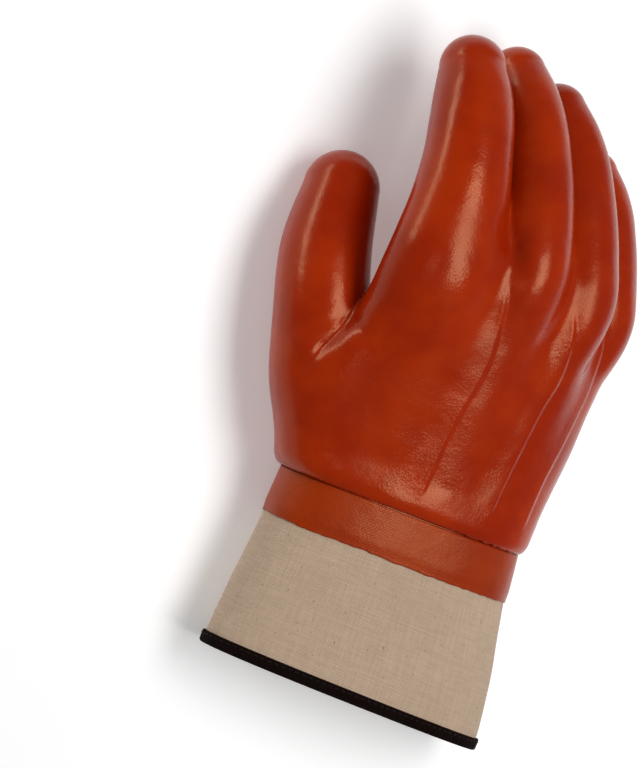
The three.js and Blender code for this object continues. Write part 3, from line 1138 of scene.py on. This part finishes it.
def weave_group() -> bpy.types.NodeTree:
    """Plain weave on a cloth's own map: Height, and a Thread mask of uneven yarns."""
    tree, shade, start, end = new_group("plain_weave", {"Warp": 120.0, "Weft": 120.0, "Unevenness": 0.35},
                                        ("Height", "Thread"))
    parts = shade.node("ShaderNodeSeparateXYZ", {"Vector": start.outputs["Vector"]})
    u = shade.math("MULTIPLY", parts.outputs["X"], start.outputs["Warp"])
    v = shade.math("MULTIPLY", parts.outputs["Y"], start.outputs["Weft"])
    wobble = shade.noise(start.outputs["Vector"], 22.0, 2.0, 0.5)
    drift = shade.math("MULTIPLY", shade.math("SUBTRACT", wobble, 0.5), start.outputs["Unevenness"])
    u, v = shade.math("ADD", u, drift), shade.math("ADD", v, drift)
    warp = shade.math("ABSOLUTE", shade.math("SINE", shade.math("MULTIPLY", u, math.pi)))
    weft = shade.math("ABSOLUTE", shade.math("SINE", shade.math("MULTIPLY", v, math.pi)))
    warp_yarn, weft_yarn = shade.math("FLOOR", u), shade.math("FLOOR", v)
    turn = shade.math("FLOORED_MODULO", shade.math("ADD", warp_yarn, weft_yarn), 2.0)
    pick = shade.math("ADD", shade.math("MULTIPLY", warp, turn),
                      shade.math("MULTIPLY", weft, shade.math("SUBTRACT", 1.0, turn)))
    shade.feed(end.inputs["Height"], pick)
    slow = 0.06
    lines = shade.node("ShaderNodeCombineXYZ", {"X": warp_yarn, "Y": shade.math("MULTIPLY", v, slow)})
    cross = shade.node("ShaderNodeCombineXYZ", {"X": shade.math("MULTIPLY", u, slow), "Y": weft_yarn})
    yarn = shade.math("ADD", shade.noise(lines.outputs[0], 0.9, 1.0), shade.noise(cross.outputs[0], 0.9, 1.0))
    shade.feed(end.inputs["Thread"], shade.math("MULTIPLY", yarn, 0.5))
    return tree


@dataclass(frozen=True)
class Palette:
    """Shader groups that more than one finish uses."""

    poured_skin: bpy.types.NodeTree
    weave: bpy.types.NodeTree


def new_material(name: str) -> tuple[bpy.types.Material, Shade, bpy.types.Node]:
    """Material with an empty Principled surface.

    Args:
        name: The material's name.

    Returns:
        The material, its builder and its Principled node.
    """
    material = bpy.data.materials.new(name)
    material.use_nodes = True
    tree = material.node_tree
    tree.nodes.clear()
    shade = Shade(tree)
    surface = shade.node("ShaderNodeBsdfPrincipled")
    shade.node("ShaderNodeOutputMaterial", {"Surface": surface.outputs["BSDF"]})
    return material, shade, surface


Colour = tuple[float, float, float, float]


@dataclass(frozen=True)
class CoatFinish:
    """Poured PVC: deep orange brown with a fine orange peel."""

    name: str
    deep: Colour = (0.292, 0.0125, 0.0001, 1.0)
    light: Colour = (0.365, 0.0220, 0.0002, 1.0)
    glint: Colour = (1.0, 0.64, 0.36, 1.0)
    roughness: float = 0.23
    bump: float = 0.27
    weave_show: float = 0.0

    def material(self, palette: Palette) -> bpy.types.Material:
        """Builds the material.

        Args:
            palette: Shared shader groups.

        Returns:
            The material.
        """
        material, shade, surface = new_material(self.name)
        place = shade.node("ShaderNodeTexCoord").outputs["Object"]
        skin = shade.node("ShaderNodeGroup", node_tree=palette.poured_skin)
        shade.feed(skin.inputs["Vector"], place)
        tone = shade.spread(skin.outputs["Mottle"], 0.35, 0.68, 0.0, 1.0)
        shade.feed(surface.inputs["Base Color"], shade.mix(tone, self.deep, self.light))
        patches = shade.noise(place, 45.0, 2.0)
        rough = shade.spread(patches, 0.3, 0.7, self.roughness - 0.04, self.roughness + 0.05)
        shade.feed(surface.inputs["Roughness"], rough)
        surface.inputs["Specular IOR Level"].default_value = 0.38
        surface.inputs["Specular Tint"].default_value = self.glint
        height = skin.outputs["Height"]
        if self.weave_show:
            cloth = shade.node("ShaderNodeGroup", node_tree=palette.weave)
            shade.feed(cloth.inputs["Vector"], shade.node("ShaderNodeUVMap", uv_map="cloth").outputs[0])
            threads = shade.math("MULTIPLY", cloth.outputs["Height"], self.weave_show)
            height = shade.math("ADD", height, threads)
        bump = shade.node("ShaderNodeBump", {"Strength": self.bump, "Distance": 0.0006, "Height": height})
        shade.feed(surface.inputs["Normal"], bump.outputs[0])
        return material


@dataclass(frozen=True)
class ClothFinish:
    """Woven cloth with uneven yarns, dark flecks and painted shade in the weave's hollows."""

    name: str
    base: Colour
    # Darker tone of the yarns and of the dirt, also used for the painted shade in the weave's hollows.
    dark_yarn_and_shade: Colour
    fleck: Colour
    warp: float = 120.0
    weft: float = 110.0
    flecks: float = 0.6
    bump: float = 0.5
    roughness: float = 0.92
    sheen: float = 0.15
    gloss: float = 0.2

    def material(self, palette: Palette) -> bpy.types.Material:
        """Builds the material.

        Args:
            palette: Shared shader groups.

        Returns:
            The material.
        """
        material, shade, surface = new_material(self.name)
        cloth_map = shade.node("ShaderNodeUVMap", uv_map="cloth").outputs[0]
        cloth = shade.node("ShaderNodeGroup", node_tree=palette.weave)
        shade.feed(cloth.inputs["Vector"], cloth_map)
        cloth.inputs["Warp"].default_value = self.warp
        cloth.inputs["Weft"].default_value = self.weft
        yarn = shade.spread(cloth.outputs["Thread"], 0.30, 0.70, 0.0, 1.0)
        colour = shade.mix(yarn, self.dark_yarn_and_shade, self.base)
        soil = shade.spread(shade.noise(cloth_map, 3.0, 3.0), 0.35, 0.7, 0.0, 0.35)
        colour = shade.mix(soil, colour, self.dark_yarn_and_shade)
        # Painted shade: the weave's low points are darkened towards the dark colour, as shade in the hollows
        # between yarns.
        painted_pit_shade = shade.spread(cloth.outputs["Height"], 0.0, 0.5, 0.45, 0.0)
        colour = shade.mix(painted_pit_shade, colour, self.dark_yarn_and_shade)
        stretched = shade.node("ShaderNodeMapping", {"Vector": cloth_map, "Scale": (1.0, 0.45, 1.0)})
        specks = shade.spread(shade.noise(stretched.outputs[0], 75.0, 1.0), 0.70, 0.78, 0.0, self.flecks)
        colour = shade.mix(specks, colour, self.fleck)
        shade.feed(surface.inputs["Base Color"], colour)
        surface.inputs["Roughness"].default_value = self.roughness
        surface.inputs["Specular IOR Level"].default_value = self.gloss
        surface.inputs["Sheen Weight"].default_value = self.sheen
        bump = shade.node("ShaderNodeBump", {"Strength": self.bump, "Distance": 0.0003,
                                             "Height": cloth.outputs["Height"]})
        shade.feed(surface.inputs["Normal"], bump.outputs[0])
        return material


@dataclass(frozen=True)
class PlainFinish:
    """Even finish with a faint grain, for the lining, the thread and the floor."""

    name: str
    base: Colour
    second: Colour
    scale: float
    roughness: float
    bump: float = 0.0
    glow: float = 0.0

    def material(self) -> bpy.types.Material:
        """Builds the material."""
        material, shade, surface = new_material(self.name)
        place = shade.node("ShaderNodeTexCoord").outputs["Object"]
        grain = shade.noise(place, self.scale, 3.0)
        shade.feed(surface.inputs["Base Color"],
                   shade.mix(shade.spread(grain, 0.35, 0.65, 0.0, 1.0), self.base, self.second))
        surface.inputs["Roughness"].default_value = self.roughness
        surface.inputs["Specular IOR Level"].default_value = 0.15
        if self.glow:
            surface.inputs["Emission Color"].default_value = self.base
            surface.inputs["Emission Strength"].default_value = self.glow
        if self.bump:
            bump = shade.node("ShaderNodeBump", {"Strength": self.bump, "Distance": 0.0005, "Height": grain})
            shade.feed(surface.inputs["Normal"], bump.outputs[0])
        return material


# Sub-assemblies


@dataclass
class HandShell:
    """The coated, hollow hand with its lining."""

    palette: Palette
    cell: float = 1.25
    quick_cell: float = 2.0
    inner_share: float = 0.18
    lining_reach: float = 0.7
    seam_reach: float = 3.4
    hand: Hand = field(default_factory=Hand)

    def build(self) -> bpy.types.Object:
        """Builds and dresses the shell.

        Returns:
            The finished piece.
        """
        cell = self.cell
        net = SkinNet((-106.0, 78.0, -6.0), (88.0, 312.0, 100.0), cell)
        points, quads = net.mesh(self.hand.solid)
        LOG.info("skin of the hand: %d quads", len(quads))
        for share in (0.5, 0.35):
            points = settle(relax(points, quads, share), self.hand.solid, 1, cell)
        points = settle(points, self.hand.solid, 1, cell)
        piece = new_object("coated_hand", points, quads)
        self._thin_inside(piece)
        self._refine_seams(piece)
        self._dress(piece)
        return piece

    def _own(self, piece: bpy.types.Object) -> Array:
        """Places of a piece's vertices in the glove's own frame."""
        flat = np.empty(len(piece.data.vertices) * 3)
        piece.data.vertices.foreach_get("co", flat)
        return flat.reshape(-1, 3) / MILLI - SHIFT

    def _inside(self, points: Array) -> Array:
        """Mask of the points on the lining."""
        return np.abs(self.hand.base(points) + SIZES.shell) < self.lining_reach

    def _thin_inside(self, piece: bpy.types.Object) -> None:
        """Uses fewer faces on the lining, which little of the light reaches.

        Args:
            piece: The hand's piece.
        """
        inside = self._inside(self._own(piece))
        group = piece.vertex_groups.new(name="lining")
        group.add(np.flatnonzero(inside).tolist(), 1.0, "REPLACE")
        thin = piece.modifiers.new("thin", "DECIMATE")
        thin.vertex_group = "lining"
        inner = float(inside.mean())
        thin.ratio = (1.0 - inner) + inner * self.inner_share
        run_modifier(piece)
        piece.vertex_groups.clear()

    def _refine_seams(self, piece: bpy.types.Object) -> None:
        """Splits the faces about the seams and settles the skin on them.

        Args:
            piece: The hand's piece.
        """
        points = self._own(piece)
        near = np.zeros(len(points), bool)
        for line, _ in self.hand.seams:
            low, high = line.min(0) - 5.0, line.max(0) + 5.0
            part = np.flatnonzero(np.all((points > low) & (points < high), axis=1))
            p = points[part]
            square = (line**2).sum(1)[None, :] - 2.0 * p @ line.T + (p**2).sum(1)[:, None]
            near[part] |= np.sqrt(np.maximum(square.min(1), 0.0)) < self.seam_reach
        work = bmesh.new()
        work.from_mesh(piece.data)
        work.verts.ensure_lookup_table()
        edges = [edge for edge in work.edges if near[edge.verts[0].index] and near[edge.verts[1].index]]
        bmesh.ops.subdivide_edges(work, edges=edges, cuts=1, use_grid_fill=True)
        bmesh.ops.triangulate(work, faces=[face for face in work.faces if len(face.verts) > 4])
        work.to_mesh(piece.data)
        work.free()
        points = self._own(piece)
        outer = np.flatnonzero(~self._inside(points))
        points[outer] = settle(points[outer], self.hand.solid, 2, 0.8)
        piece.data.vertices.foreach_set("co", ((points + SHIFT) * MILLI).reshape(-1))
        piece.data.update()

    def _dress(self, piece: bpy.types.Object) -> None:
        """Gives the coat and the lining their finishes.

        Args:
            piece: The hand's piece.
        """
        lining = PlainFinish("lining_knit", (0.50, 0.45, 0.37, 1.0), (0.40, 0.35, 0.28, 1.0),
                             scale=900.0, roughness=0.95, bump=0.5)
        piece.data.materials.append(CoatFinish("coat_hand").material(self.palette))
        piece.data.materials.append(lining.material())
        inside = self._inside(self._own(piece))
        for face in piece.data.polygons:
            face.material_index = int(all(inside[k] for k in face.vertices))
            face.use_smooth = True


@dataclass
class ClothTube:
    """Shared way to make a walled tube of the cuff with a cloth map."""

    columns: int = 300
    rows: int = 70

    def wall(self, name: str, ys: Array, outer: Callable[[Array, Array], Array],
             inner: Callable[[Array, Array], Array], edge: Callable[[Array], Array]) -> bpy.types.Object:
        """Closed wall between two insets.

        Args:
            name: The piece's name.
            ys: Distances of the rows from the hem.
            outer: Inset of the outside, by distance and angle.
            inner: Inset of the inside, by distance and angle.
            edge: Shift of the first row along Y, by angle.

        Returns:
            The piece with a map named cloth, in tenths of a metre.
        """
        angles = even_angles(SIZES.cuff_length / 2, self.columns)
        rings = []
        fade = np.linspace(1.0, 0.0, len(ys))**2
        for walk, inset in ((range(len(ys)), outer), (range(len(ys) - 1, -1, -1), inner)):
            for r in walk:
                y = ys[r] + edge(angles) * fade[r]
                rings.append(tube_ring(y, angles, inset(y, angles)))
        points = np.vstack(rings)
        piece = new_object(name, points, wrapped_quads(len(rings), self.columns, True))
        turn_outwards(piece)
        lay_cloth_map(piece, rings[len(ys) // 2], np.concatenate([ys, ys[::-1]]))
        return piece


@dataclass
class CanvasCuff(ClothTube):
    """The flared canvas gauntlet."""

    palette: Palette | None = None
    sag: Ripple = field(default_factory=lambda: Ripple(31, 38.0))

    def build(self) -> bpy.types.Object:
        """Builds and dresses the cuff.

        Returns:
            The finished piece.
        """
        s = SIZES

        def soft(y: Array, angle: Array) -> Array:
            """Slight unevenness of the cloth, none at its ends."""
            ends = smoothstep(6.0, 22.0, y) * (1.0 - smoothstep(56.0, 66.0, y))
            places = np.stack([70.0 * np.cos(angle), y, 70.0 * np.sin(angle)], -1)
            return 0.55 * ends * self.sag.at(places)

        ys = np.concatenate([np.linspace(s.tape_gap, s.cuff_length, self.rows), [s.cuff_length + s.tuck]])
        piece = self.wall("cuff_canvas", ys, soft, lambda y, a: soft(y, a) + s.canvas, lambda a: 0.0 * a)
        finish = ClothFinish("canvas", base=(0.55, 0.405, 0.290, 1.0), dark_yarn_and_shade=(0.46, 0.332, 0.232, 1.0),
                             fleck=(0.13, 0.095, 0.065, 1.0))
        piece.data.materials.append(finish.material(self.palette))
        piece.data.materials.append(CoatFinish("coat_in_the_groove").material(self.palette))
        under = int(np.searchsorted(ys, s.cuff_length - s.band_length + 5.0))
        for face in piece.data.polygons:
            rows = [k // self.columns for k in face.vertices]
            face.material_index = int(min(rows) >= under and max(rows) < len(ys))
        return piece

    def cut(self) -> tuple[float, float, float]:
        """Size that the canvas was cut to.

        Returns:
            Width round the hem and length in metres, and area in square metres.
        """
        s = SIZES
        ys = np.linspace(s.tape_gap, s.cuff_length + s.tuck, 40)
        angles = np.linspace(0.0, 2 * np.pi, 721)
        rounds = []
        for y in ys:
            ring = tube_ring(np.full(len(angles), y), np.minimum(angles, 2 * np.pi - 1e-9), s.canvas / 2)
            rounds.append(float(np.linalg.norm(np.diff(ring, axis=0), axis=1).sum()))
        area = float(np.mean(rounds)) * float(ys[-1] - ys[0])
        return max(rounds) * MILLI, float(ys[-1] - ys[0]) * MILLI, area * MILLI**2


@dataclass
class DippedBand(ClothTube):
    """The coat on the top of the cuff, thin and ragged at the dip line."""

    palette: Palette | None = None
    rows: int = 34
    ragged: Ripple = field(default_factory=lambda: Ripple(41, 2.8))
    wander: Ripple = field(default_factory=lambda: Ripple(42, 22.0))

    def build(self) -> bpy.types.Object:
        """Builds and dresses the band.

        Returns:
            The finished piece.
        """
        s = SIZES
        start = s.cuff_length - s.band_length

        def edge(angle: Array) -> Array:
            """Ragged dip line."""
            ring = np.stack([64.0 * np.cos(angle), 0.0 * angle, 64.0 * np.sin(angle)], -1)
            return 0.28 * self.ragged.at(ring) + 0.4 * self.wander.at(ring)

        def outer(y: Array, angle: Array) -> Array:
            """Outside of the coat, thin at the dip line."""
            thick = 0.35 + (s.coat - 0.35) * smoothstep(start, start + 6.0, y)
            ring = np.stack([64.0 * np.cos(angle), y, 64.0 * np.sin(angle)], -1)
            return -s.gap - thick - 0.10 * self.wander.at(ring * 2.0)

        ys = np.linspace(start, s.cuff_length - s.gap, self.rows)
        piece = self.wall("dip_band", ys, outer, lambda y, a: 0.0 * y - 0.08, edge)
        finish = CoatFinish("coat_band", deep=(0.275, 0.0180, 0.0002, 1.0),
                            light=(0.325, 0.0275, 0.0004, 1.0), roughness=0.33, bump=0.4, weave_show=0.12)
        piece.data.materials.append(finish.material(self.palette))
        return piece


@dataclass
class HemBinding:
    """Ribbed tape folded round the hem, and its stitching."""

    palette: Palette
    columns: int = 420
    corner: float = 0.45
    rim: int = 5

    def _profile(self) -> list[tuple[float, float]]:
        """Rounded section of the tape as distances from the hem and insets."""
        s, r = SIZES, self.corner
        out, rim = -s.gap - s.tape, s.canvas + s.gap + s.tape
        round_steps = 5
        points = [(s.tape_depth, out + s.tape * 0.5), (s.tape_depth - 0.15, out + 0.18),
                  (s.tape_depth - 0.6, out), (s.tape_depth * 0.62, out - 0.06), (s.tape_depth * 0.35, out)]
        for i in range(round_steps + 1):
            turn = i / round_steps * math.pi / 2
            points.append((s.tape * (1 - math.sin(turn)), out + s.tape * (1 - math.cos(turn))))
        for i in range(round_steps + 1):
            turn = i / round_steps * math.pi / 2
            points.append((s.tape * (1 - math.cos(turn)), rim - s.tape * (1 - math.sin(turn))))
        points += [(s.tape_depth * 0.35, rim), (s.tape_depth - 0.6, rim), (s.tape_depth - 0.15, rim - 0.18),
                   (s.tape_depth, rim - s.tape * 0.5), (s.tape_depth - r, rim - s.tape),
                   (s.tape + 0.1, rim - s.tape), (s.tape + 0.1, -s.gap), (s.tape_depth - r, -s.gap)]
        return points

    def build(self) -> bpy.types.Object:
        """Builds and dresses the tape.

        Returns:
            The finished piece.
        """
        angles = even_angles(0.0, self.columns)
        profile = self._profile()
        rings = [tube_ring(np.full(self.columns, y), angles, inset) for y, inset in profile]
        piece = new_object("hem_tape", np.vstack(rings), wrapped_quads(len(rings), self.columns, True))
        turn_outwards(piece)
        lay_cloth_map(piece, rings[self.rim], run_lengths(np.array(profile)))
        finish = ClothFinish("tape_weave", (0.010, 0.0040, 0.0028, 1.0), (0.004, 0.0015, 0.0011, 1.0),
                             (0.02, 0.010, 0.008, 1.0), warp=95.0, weft=240.0, flecks=0.1, bump=0.8,
                             roughness=0.9, sheen=0.0, gloss=0.06)
        piece.data.materials.append(finish.material(self.palette))
        return piece

    def stitches(self) -> bpy.types.Object:
        """Builds the lockstitches along the tape, outside and inside.

        Returns:
            The finished piece.
        """
        s = SIZES
        angles = even_angles(0.0, self.columns)
        depth = s.tape_depth - 1.5
        outer = tube_ring(np.full(self.columns, depth), angles, -s.gap - s.tape - 0.05)
        inner = tube_ring(np.full(self.columns, depth), angles, s.canvas + s.gap + s.tape + 0.05)
        points = (np.vstack([outer, inner]) + SHIFT) * MILLI
        edges = [(c, (c + 1) % self.columns) for c in range(self.columns)]
        edges += [(a + self.columns, b + self.columns) for a, b in edges]
        mesh = bpy.data.meshes.new("hem_stitches")
        mesh.from_pydata(points.tolist(), edges, [])
        piece = bpy.data.objects.new("hem_stitches", mesh)
        bpy.context.scene.collection.objects.link(piece)
        thread = PlainFinish("thread_dark", (0.016, 0.008, 0.006, 1.0), (0.008, 0.004, 0.003, 1.0),
                             scale=1500.0, roughness=0.7)
        StitchRow(thread.material()).run(piece)
        return piece


@dataclass
class StitchRow:
    """Geometry Nodes tree that sews stitches along the edges of a mesh."""

    thread: bpy.types.Material
    spacing: float = 3.3 * MILLI
    length: float = 2.5 * MILLI
    radius: float = 0.28 * MILLI

    def run(self, piece: bpy.types.Object) -> None:
        """Sews the stitches and turns them into a plain mesh.

        Args:
            piece: Mesh of edges along the row, which becomes the stitches.
        """
        tree = self._tree()
        modifier = piece.modifiers.new("stitches", "NODES")
        modifier.node_group = tree
        values = {"Spacing": self.spacing, "Length": self.length, "Radius": self.radius,
                  "Thread": self.thread}
        for item in tree.interface.items_tree:
            if item.in_out == "INPUT" and item.name in values:
                modifier[item.identifier] = values[item.name]
        run_modifier(piece)

    def _tree(self) -> bpy.types.NodeTree:
        """Builds the tree with its named inputs."""
        tree = bpy.data.node_groups.new("stitch_row", "GeometryNodeTree")
        make = tree.interface.new_socket
        make(name="Geometry", in_out="INPUT", socket_type="NodeSocketGeometry")
        for name in ("Spacing", "Length", "Radius"):
            make(name=name, in_out="INPUT", socket_type="NodeSocketFloat")
        make(name="Thread", in_out="INPUT", socket_type="NodeSocketMaterial")
        make(name="Geometry", in_out="OUTPUT", socket_type="NodeSocketGeometry")
        shade = Shade(tree)
        start, end = tree.nodes.new("NodeGroupInput"), tree.nodes.new("NodeGroupOutput")
        curve = shade.node("GeometryNodeMeshToCurve", {"Mesh": start.outputs["Geometry"]})
        even = shade.node("GeometryNodeResampleCurve", {"Curve": curve.outputs[0]}, mode="LENGTH")
        shade.feed(even.inputs["Length"], start.outputs["Spacing"])
        ball = shade.node("GeometryNodeMeshUVSphere", {"Segments": 8, "Rings": 5, "Radius": 1.0})
        tangent = shade.node("GeometryNodeInputTangent")
        facing = shade.node("FunctionNodeAlignRotationToVector", {"Vector": tangent.outputs[0]}, axis="X")
        half = shade.math("MULTIPLY", start.outputs["Length"], 0.5)
        size = shade.node("ShaderNodeCombineXYZ", {"X": half, "Y": start.outputs["Radius"],
                                                  "Z": start.outputs["Radius"]})
        placed = shade.node("GeometryNodeInstanceOnPoints", {
            "Points": even.outputs[0], "Instance": ball.outputs[0],
            "Rotation": facing.outputs[0], "Scale": size.outputs[0]})
        real = shade.node("GeometryNodeRealizeInstances", {"Geometry": placed.outputs[0]})
        smooth = shade.node("GeometryNodeSetShadeSmooth", {"Geometry": real.outputs[0]})
        dressed = shade.node("GeometryNodeSetMaterial", {"Geometry": smooth.outputs[0],
                                                         "Material": start.outputs["Thread"]})
        shade.feed(end.inputs["Geometry"], dressed.outputs[0])
        return tree


# Studio


@dataclass(frozen=True)
class SoftBox:
    """One soft area light, placed from the camera's own axes."""

    name: str
    right: float
    up: float
    towards: float
    width: float
    height: float
    power: float
    colour: tuple[float, float, float] = (1.0, 1.0, 1.0)


@dataclass
class Studio:
    """Floor, lights and the camera at the photograph's angle."""

    tilt: float = 22.0
    roll: float = 21.0
    distance: float = 1.0
    focal_px: float = 2300.0
    frame_px: tuple[int, int] = (643, 768)
    sensor: float = 36.0
    aim_mm: tuple[float, float, float] = (-55.7, 127.5, 30.0)
    lights: tuple[SoftBox, ...] = (
        SoftBox("key", 0.66, -0.10, 0.78, 0.44, 0.90, 8.7),
        SoftBox("upper_left", -0.60, 0.75, 0.42, 0.16, 0.90, 3.7),
        SoftBox("wrist_glint", 0.02, -0.27, 0.96, 0.14, 0.14, 0.18),
    )

    def axes(self) -> tuple[Vector, Vector, Vector]:
        """Camera's right, up and backward directions."""
        tilt, roll = math.radians(self.tilt), math.radians(self.roll)
        back = Vector((-math.sin(tilt), 0.0, math.cos(tilt)))
        ahead = -back
        along = (Vector((0.0, 1.0, 0.0)) - ahead * ahead.y).normalized()
        side = ahead.cross(along)
        up = math.cos(roll) * along - math.sin(roll) * side
        right = math.cos(roll) * side + math.sin(roll) * along
        return right, up, back

    def build(self) -> None:
        """Builds the camera, the lights, the world and the floor."""
        right, up, back = self.axes()
        aim = Vector((np.array(self.aim_mm) + SHIFT) * MILLI)
        camera = bpy.data.cameras.new("camera")
        camera.sensor_fit = "VERTICAL"
        camera.sensor_height = self.sensor
        camera.sensor_width = self.sensor
        camera.lens = self.sensor * self.focal_px / self.frame_px[1]
        camera.clip_start, camera.clip_end = 0.01, 20.0
        seen = bpy.data.objects.new("camera", camera)
        turn = Matrix((right, up, back)).transposed().to_4x4()
        seen.matrix_world = Matrix.Translation(aim + back * self.distance) @ turn
        bpy.context.scene.collection.objects.link(seen)
        bpy.context.scene.camera = seen
        for box in self.lights:
            self._light(box, aim, right, up, back)
        self._world()
        self._floor()

    def _light(self, box: SoftBox, aim: Vector, right: Vector, up: Vector, back: Vector) -> None:
        """Adds one soft box that faces the glove.

        Args:
            box: The soft box.
            aim: Place that it faces.
            right: The camera's right.
            up: The camera's up.
            back: Direction back to the camera.
        """
        data = bpy.data.lights.new(box.name, "AREA")
        data.shape = "RECTANGLE"
        data.size, data.size_y = box.width, box.height
        data.energy = box.power
        data.color = box.colour
        lamp = bpy.data.objects.new(box.name, data)
        place = aim + right * box.right + up * box.up + back * box.towards
        look = (aim - place).normalized()
        side = look.cross(up).normalized()
        tall = side.cross(look)
        lamp.matrix_world = Matrix.Translation(place) @ Matrix((side, tall, -look)).transposed().to_4x4()
        bpy.context.scene.collection.objects.link(lamp)

    def _world(self) -> None:
        """Pale even light from all sides."""
        world = bpy.data.worlds.new("studio")
        world.use_nodes = True
        ground = world.node_tree.nodes["Background"]
        ground.inputs["Color"].default_value = (1.0, 1.0, 1.0, 1.0)
        ground.inputs["Strength"].default_value = 0.21
        bpy.context.scene.world = world
        bpy.context.scene.view_settings.view_transform = "Standard"

    def _floor(self) -> None:
        """Plain pale floor under the glove."""
        mesh = bpy.data.meshes.new("floor")
        half = 3.0
        mesh.from_pydata([(-half, -half, 0.0), (half, -half, 0.0), (half, half, 0.0), (-half, half, 0.0)], [],
                         [(0, 1, 2, 3)])
        floor = bpy.data.objects.new("floor", mesh)
        bpy.context.scene.collection.objects.link(floor)
        finish = PlainFinish("floor_pale", (0.93, 0.93, 0.93, 1.0), (0.90, 0.90, 0.90, 1.0),
                             scale=3.0, roughness=0.85, glow=0.27)
        floor.data.materials.append(finish.material())


def settle_piece(piece: bpy.types.Object, slot: Slot, *nodes: str) -> None:
    """Rides a finished piece on the glove and hides the nodes that it replaces.

    Args:
        piece: The finished piece.
        slot: Not used.
        *nodes: Nodes that it replaces.
    """
    if nodes:
        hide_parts(*nodes)
    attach(piece, "root")
    LOG.info("%s: %d faces", piece.name, len(piece.data.polygons))


def main() -> None:
    """Builds the studio and the glove, piece by piece."""
    logging.basicConfig(level=logging.INFO, format="%(name)s: %(message)s")
    palette = Palette(poured_skin_group(), weave_group())
    Studio().build()
    settle_piece(HandShell(palette).build(), Slot.COAT, "hand_shell")
    settle_piece(DippedBand(palette=palette).build(), Slot.COAT, "dipped_band")
    cuff = CanvasCuff(palette=palette)
    canvas = cuff.build()
    settle_piece(canvas, Slot.CANVAS, "canvas_cuff")
    binding = HemBinding(palette)
    tape, stitches = binding.build(), binding.stitches()
    settle_piece(tape, Slot.TAPE, "hem_binding")
    settle_piece(stitches, Slot.TAPE)
    width, length, area = cuff.cut()


if __name__ == "__main__":
    main()
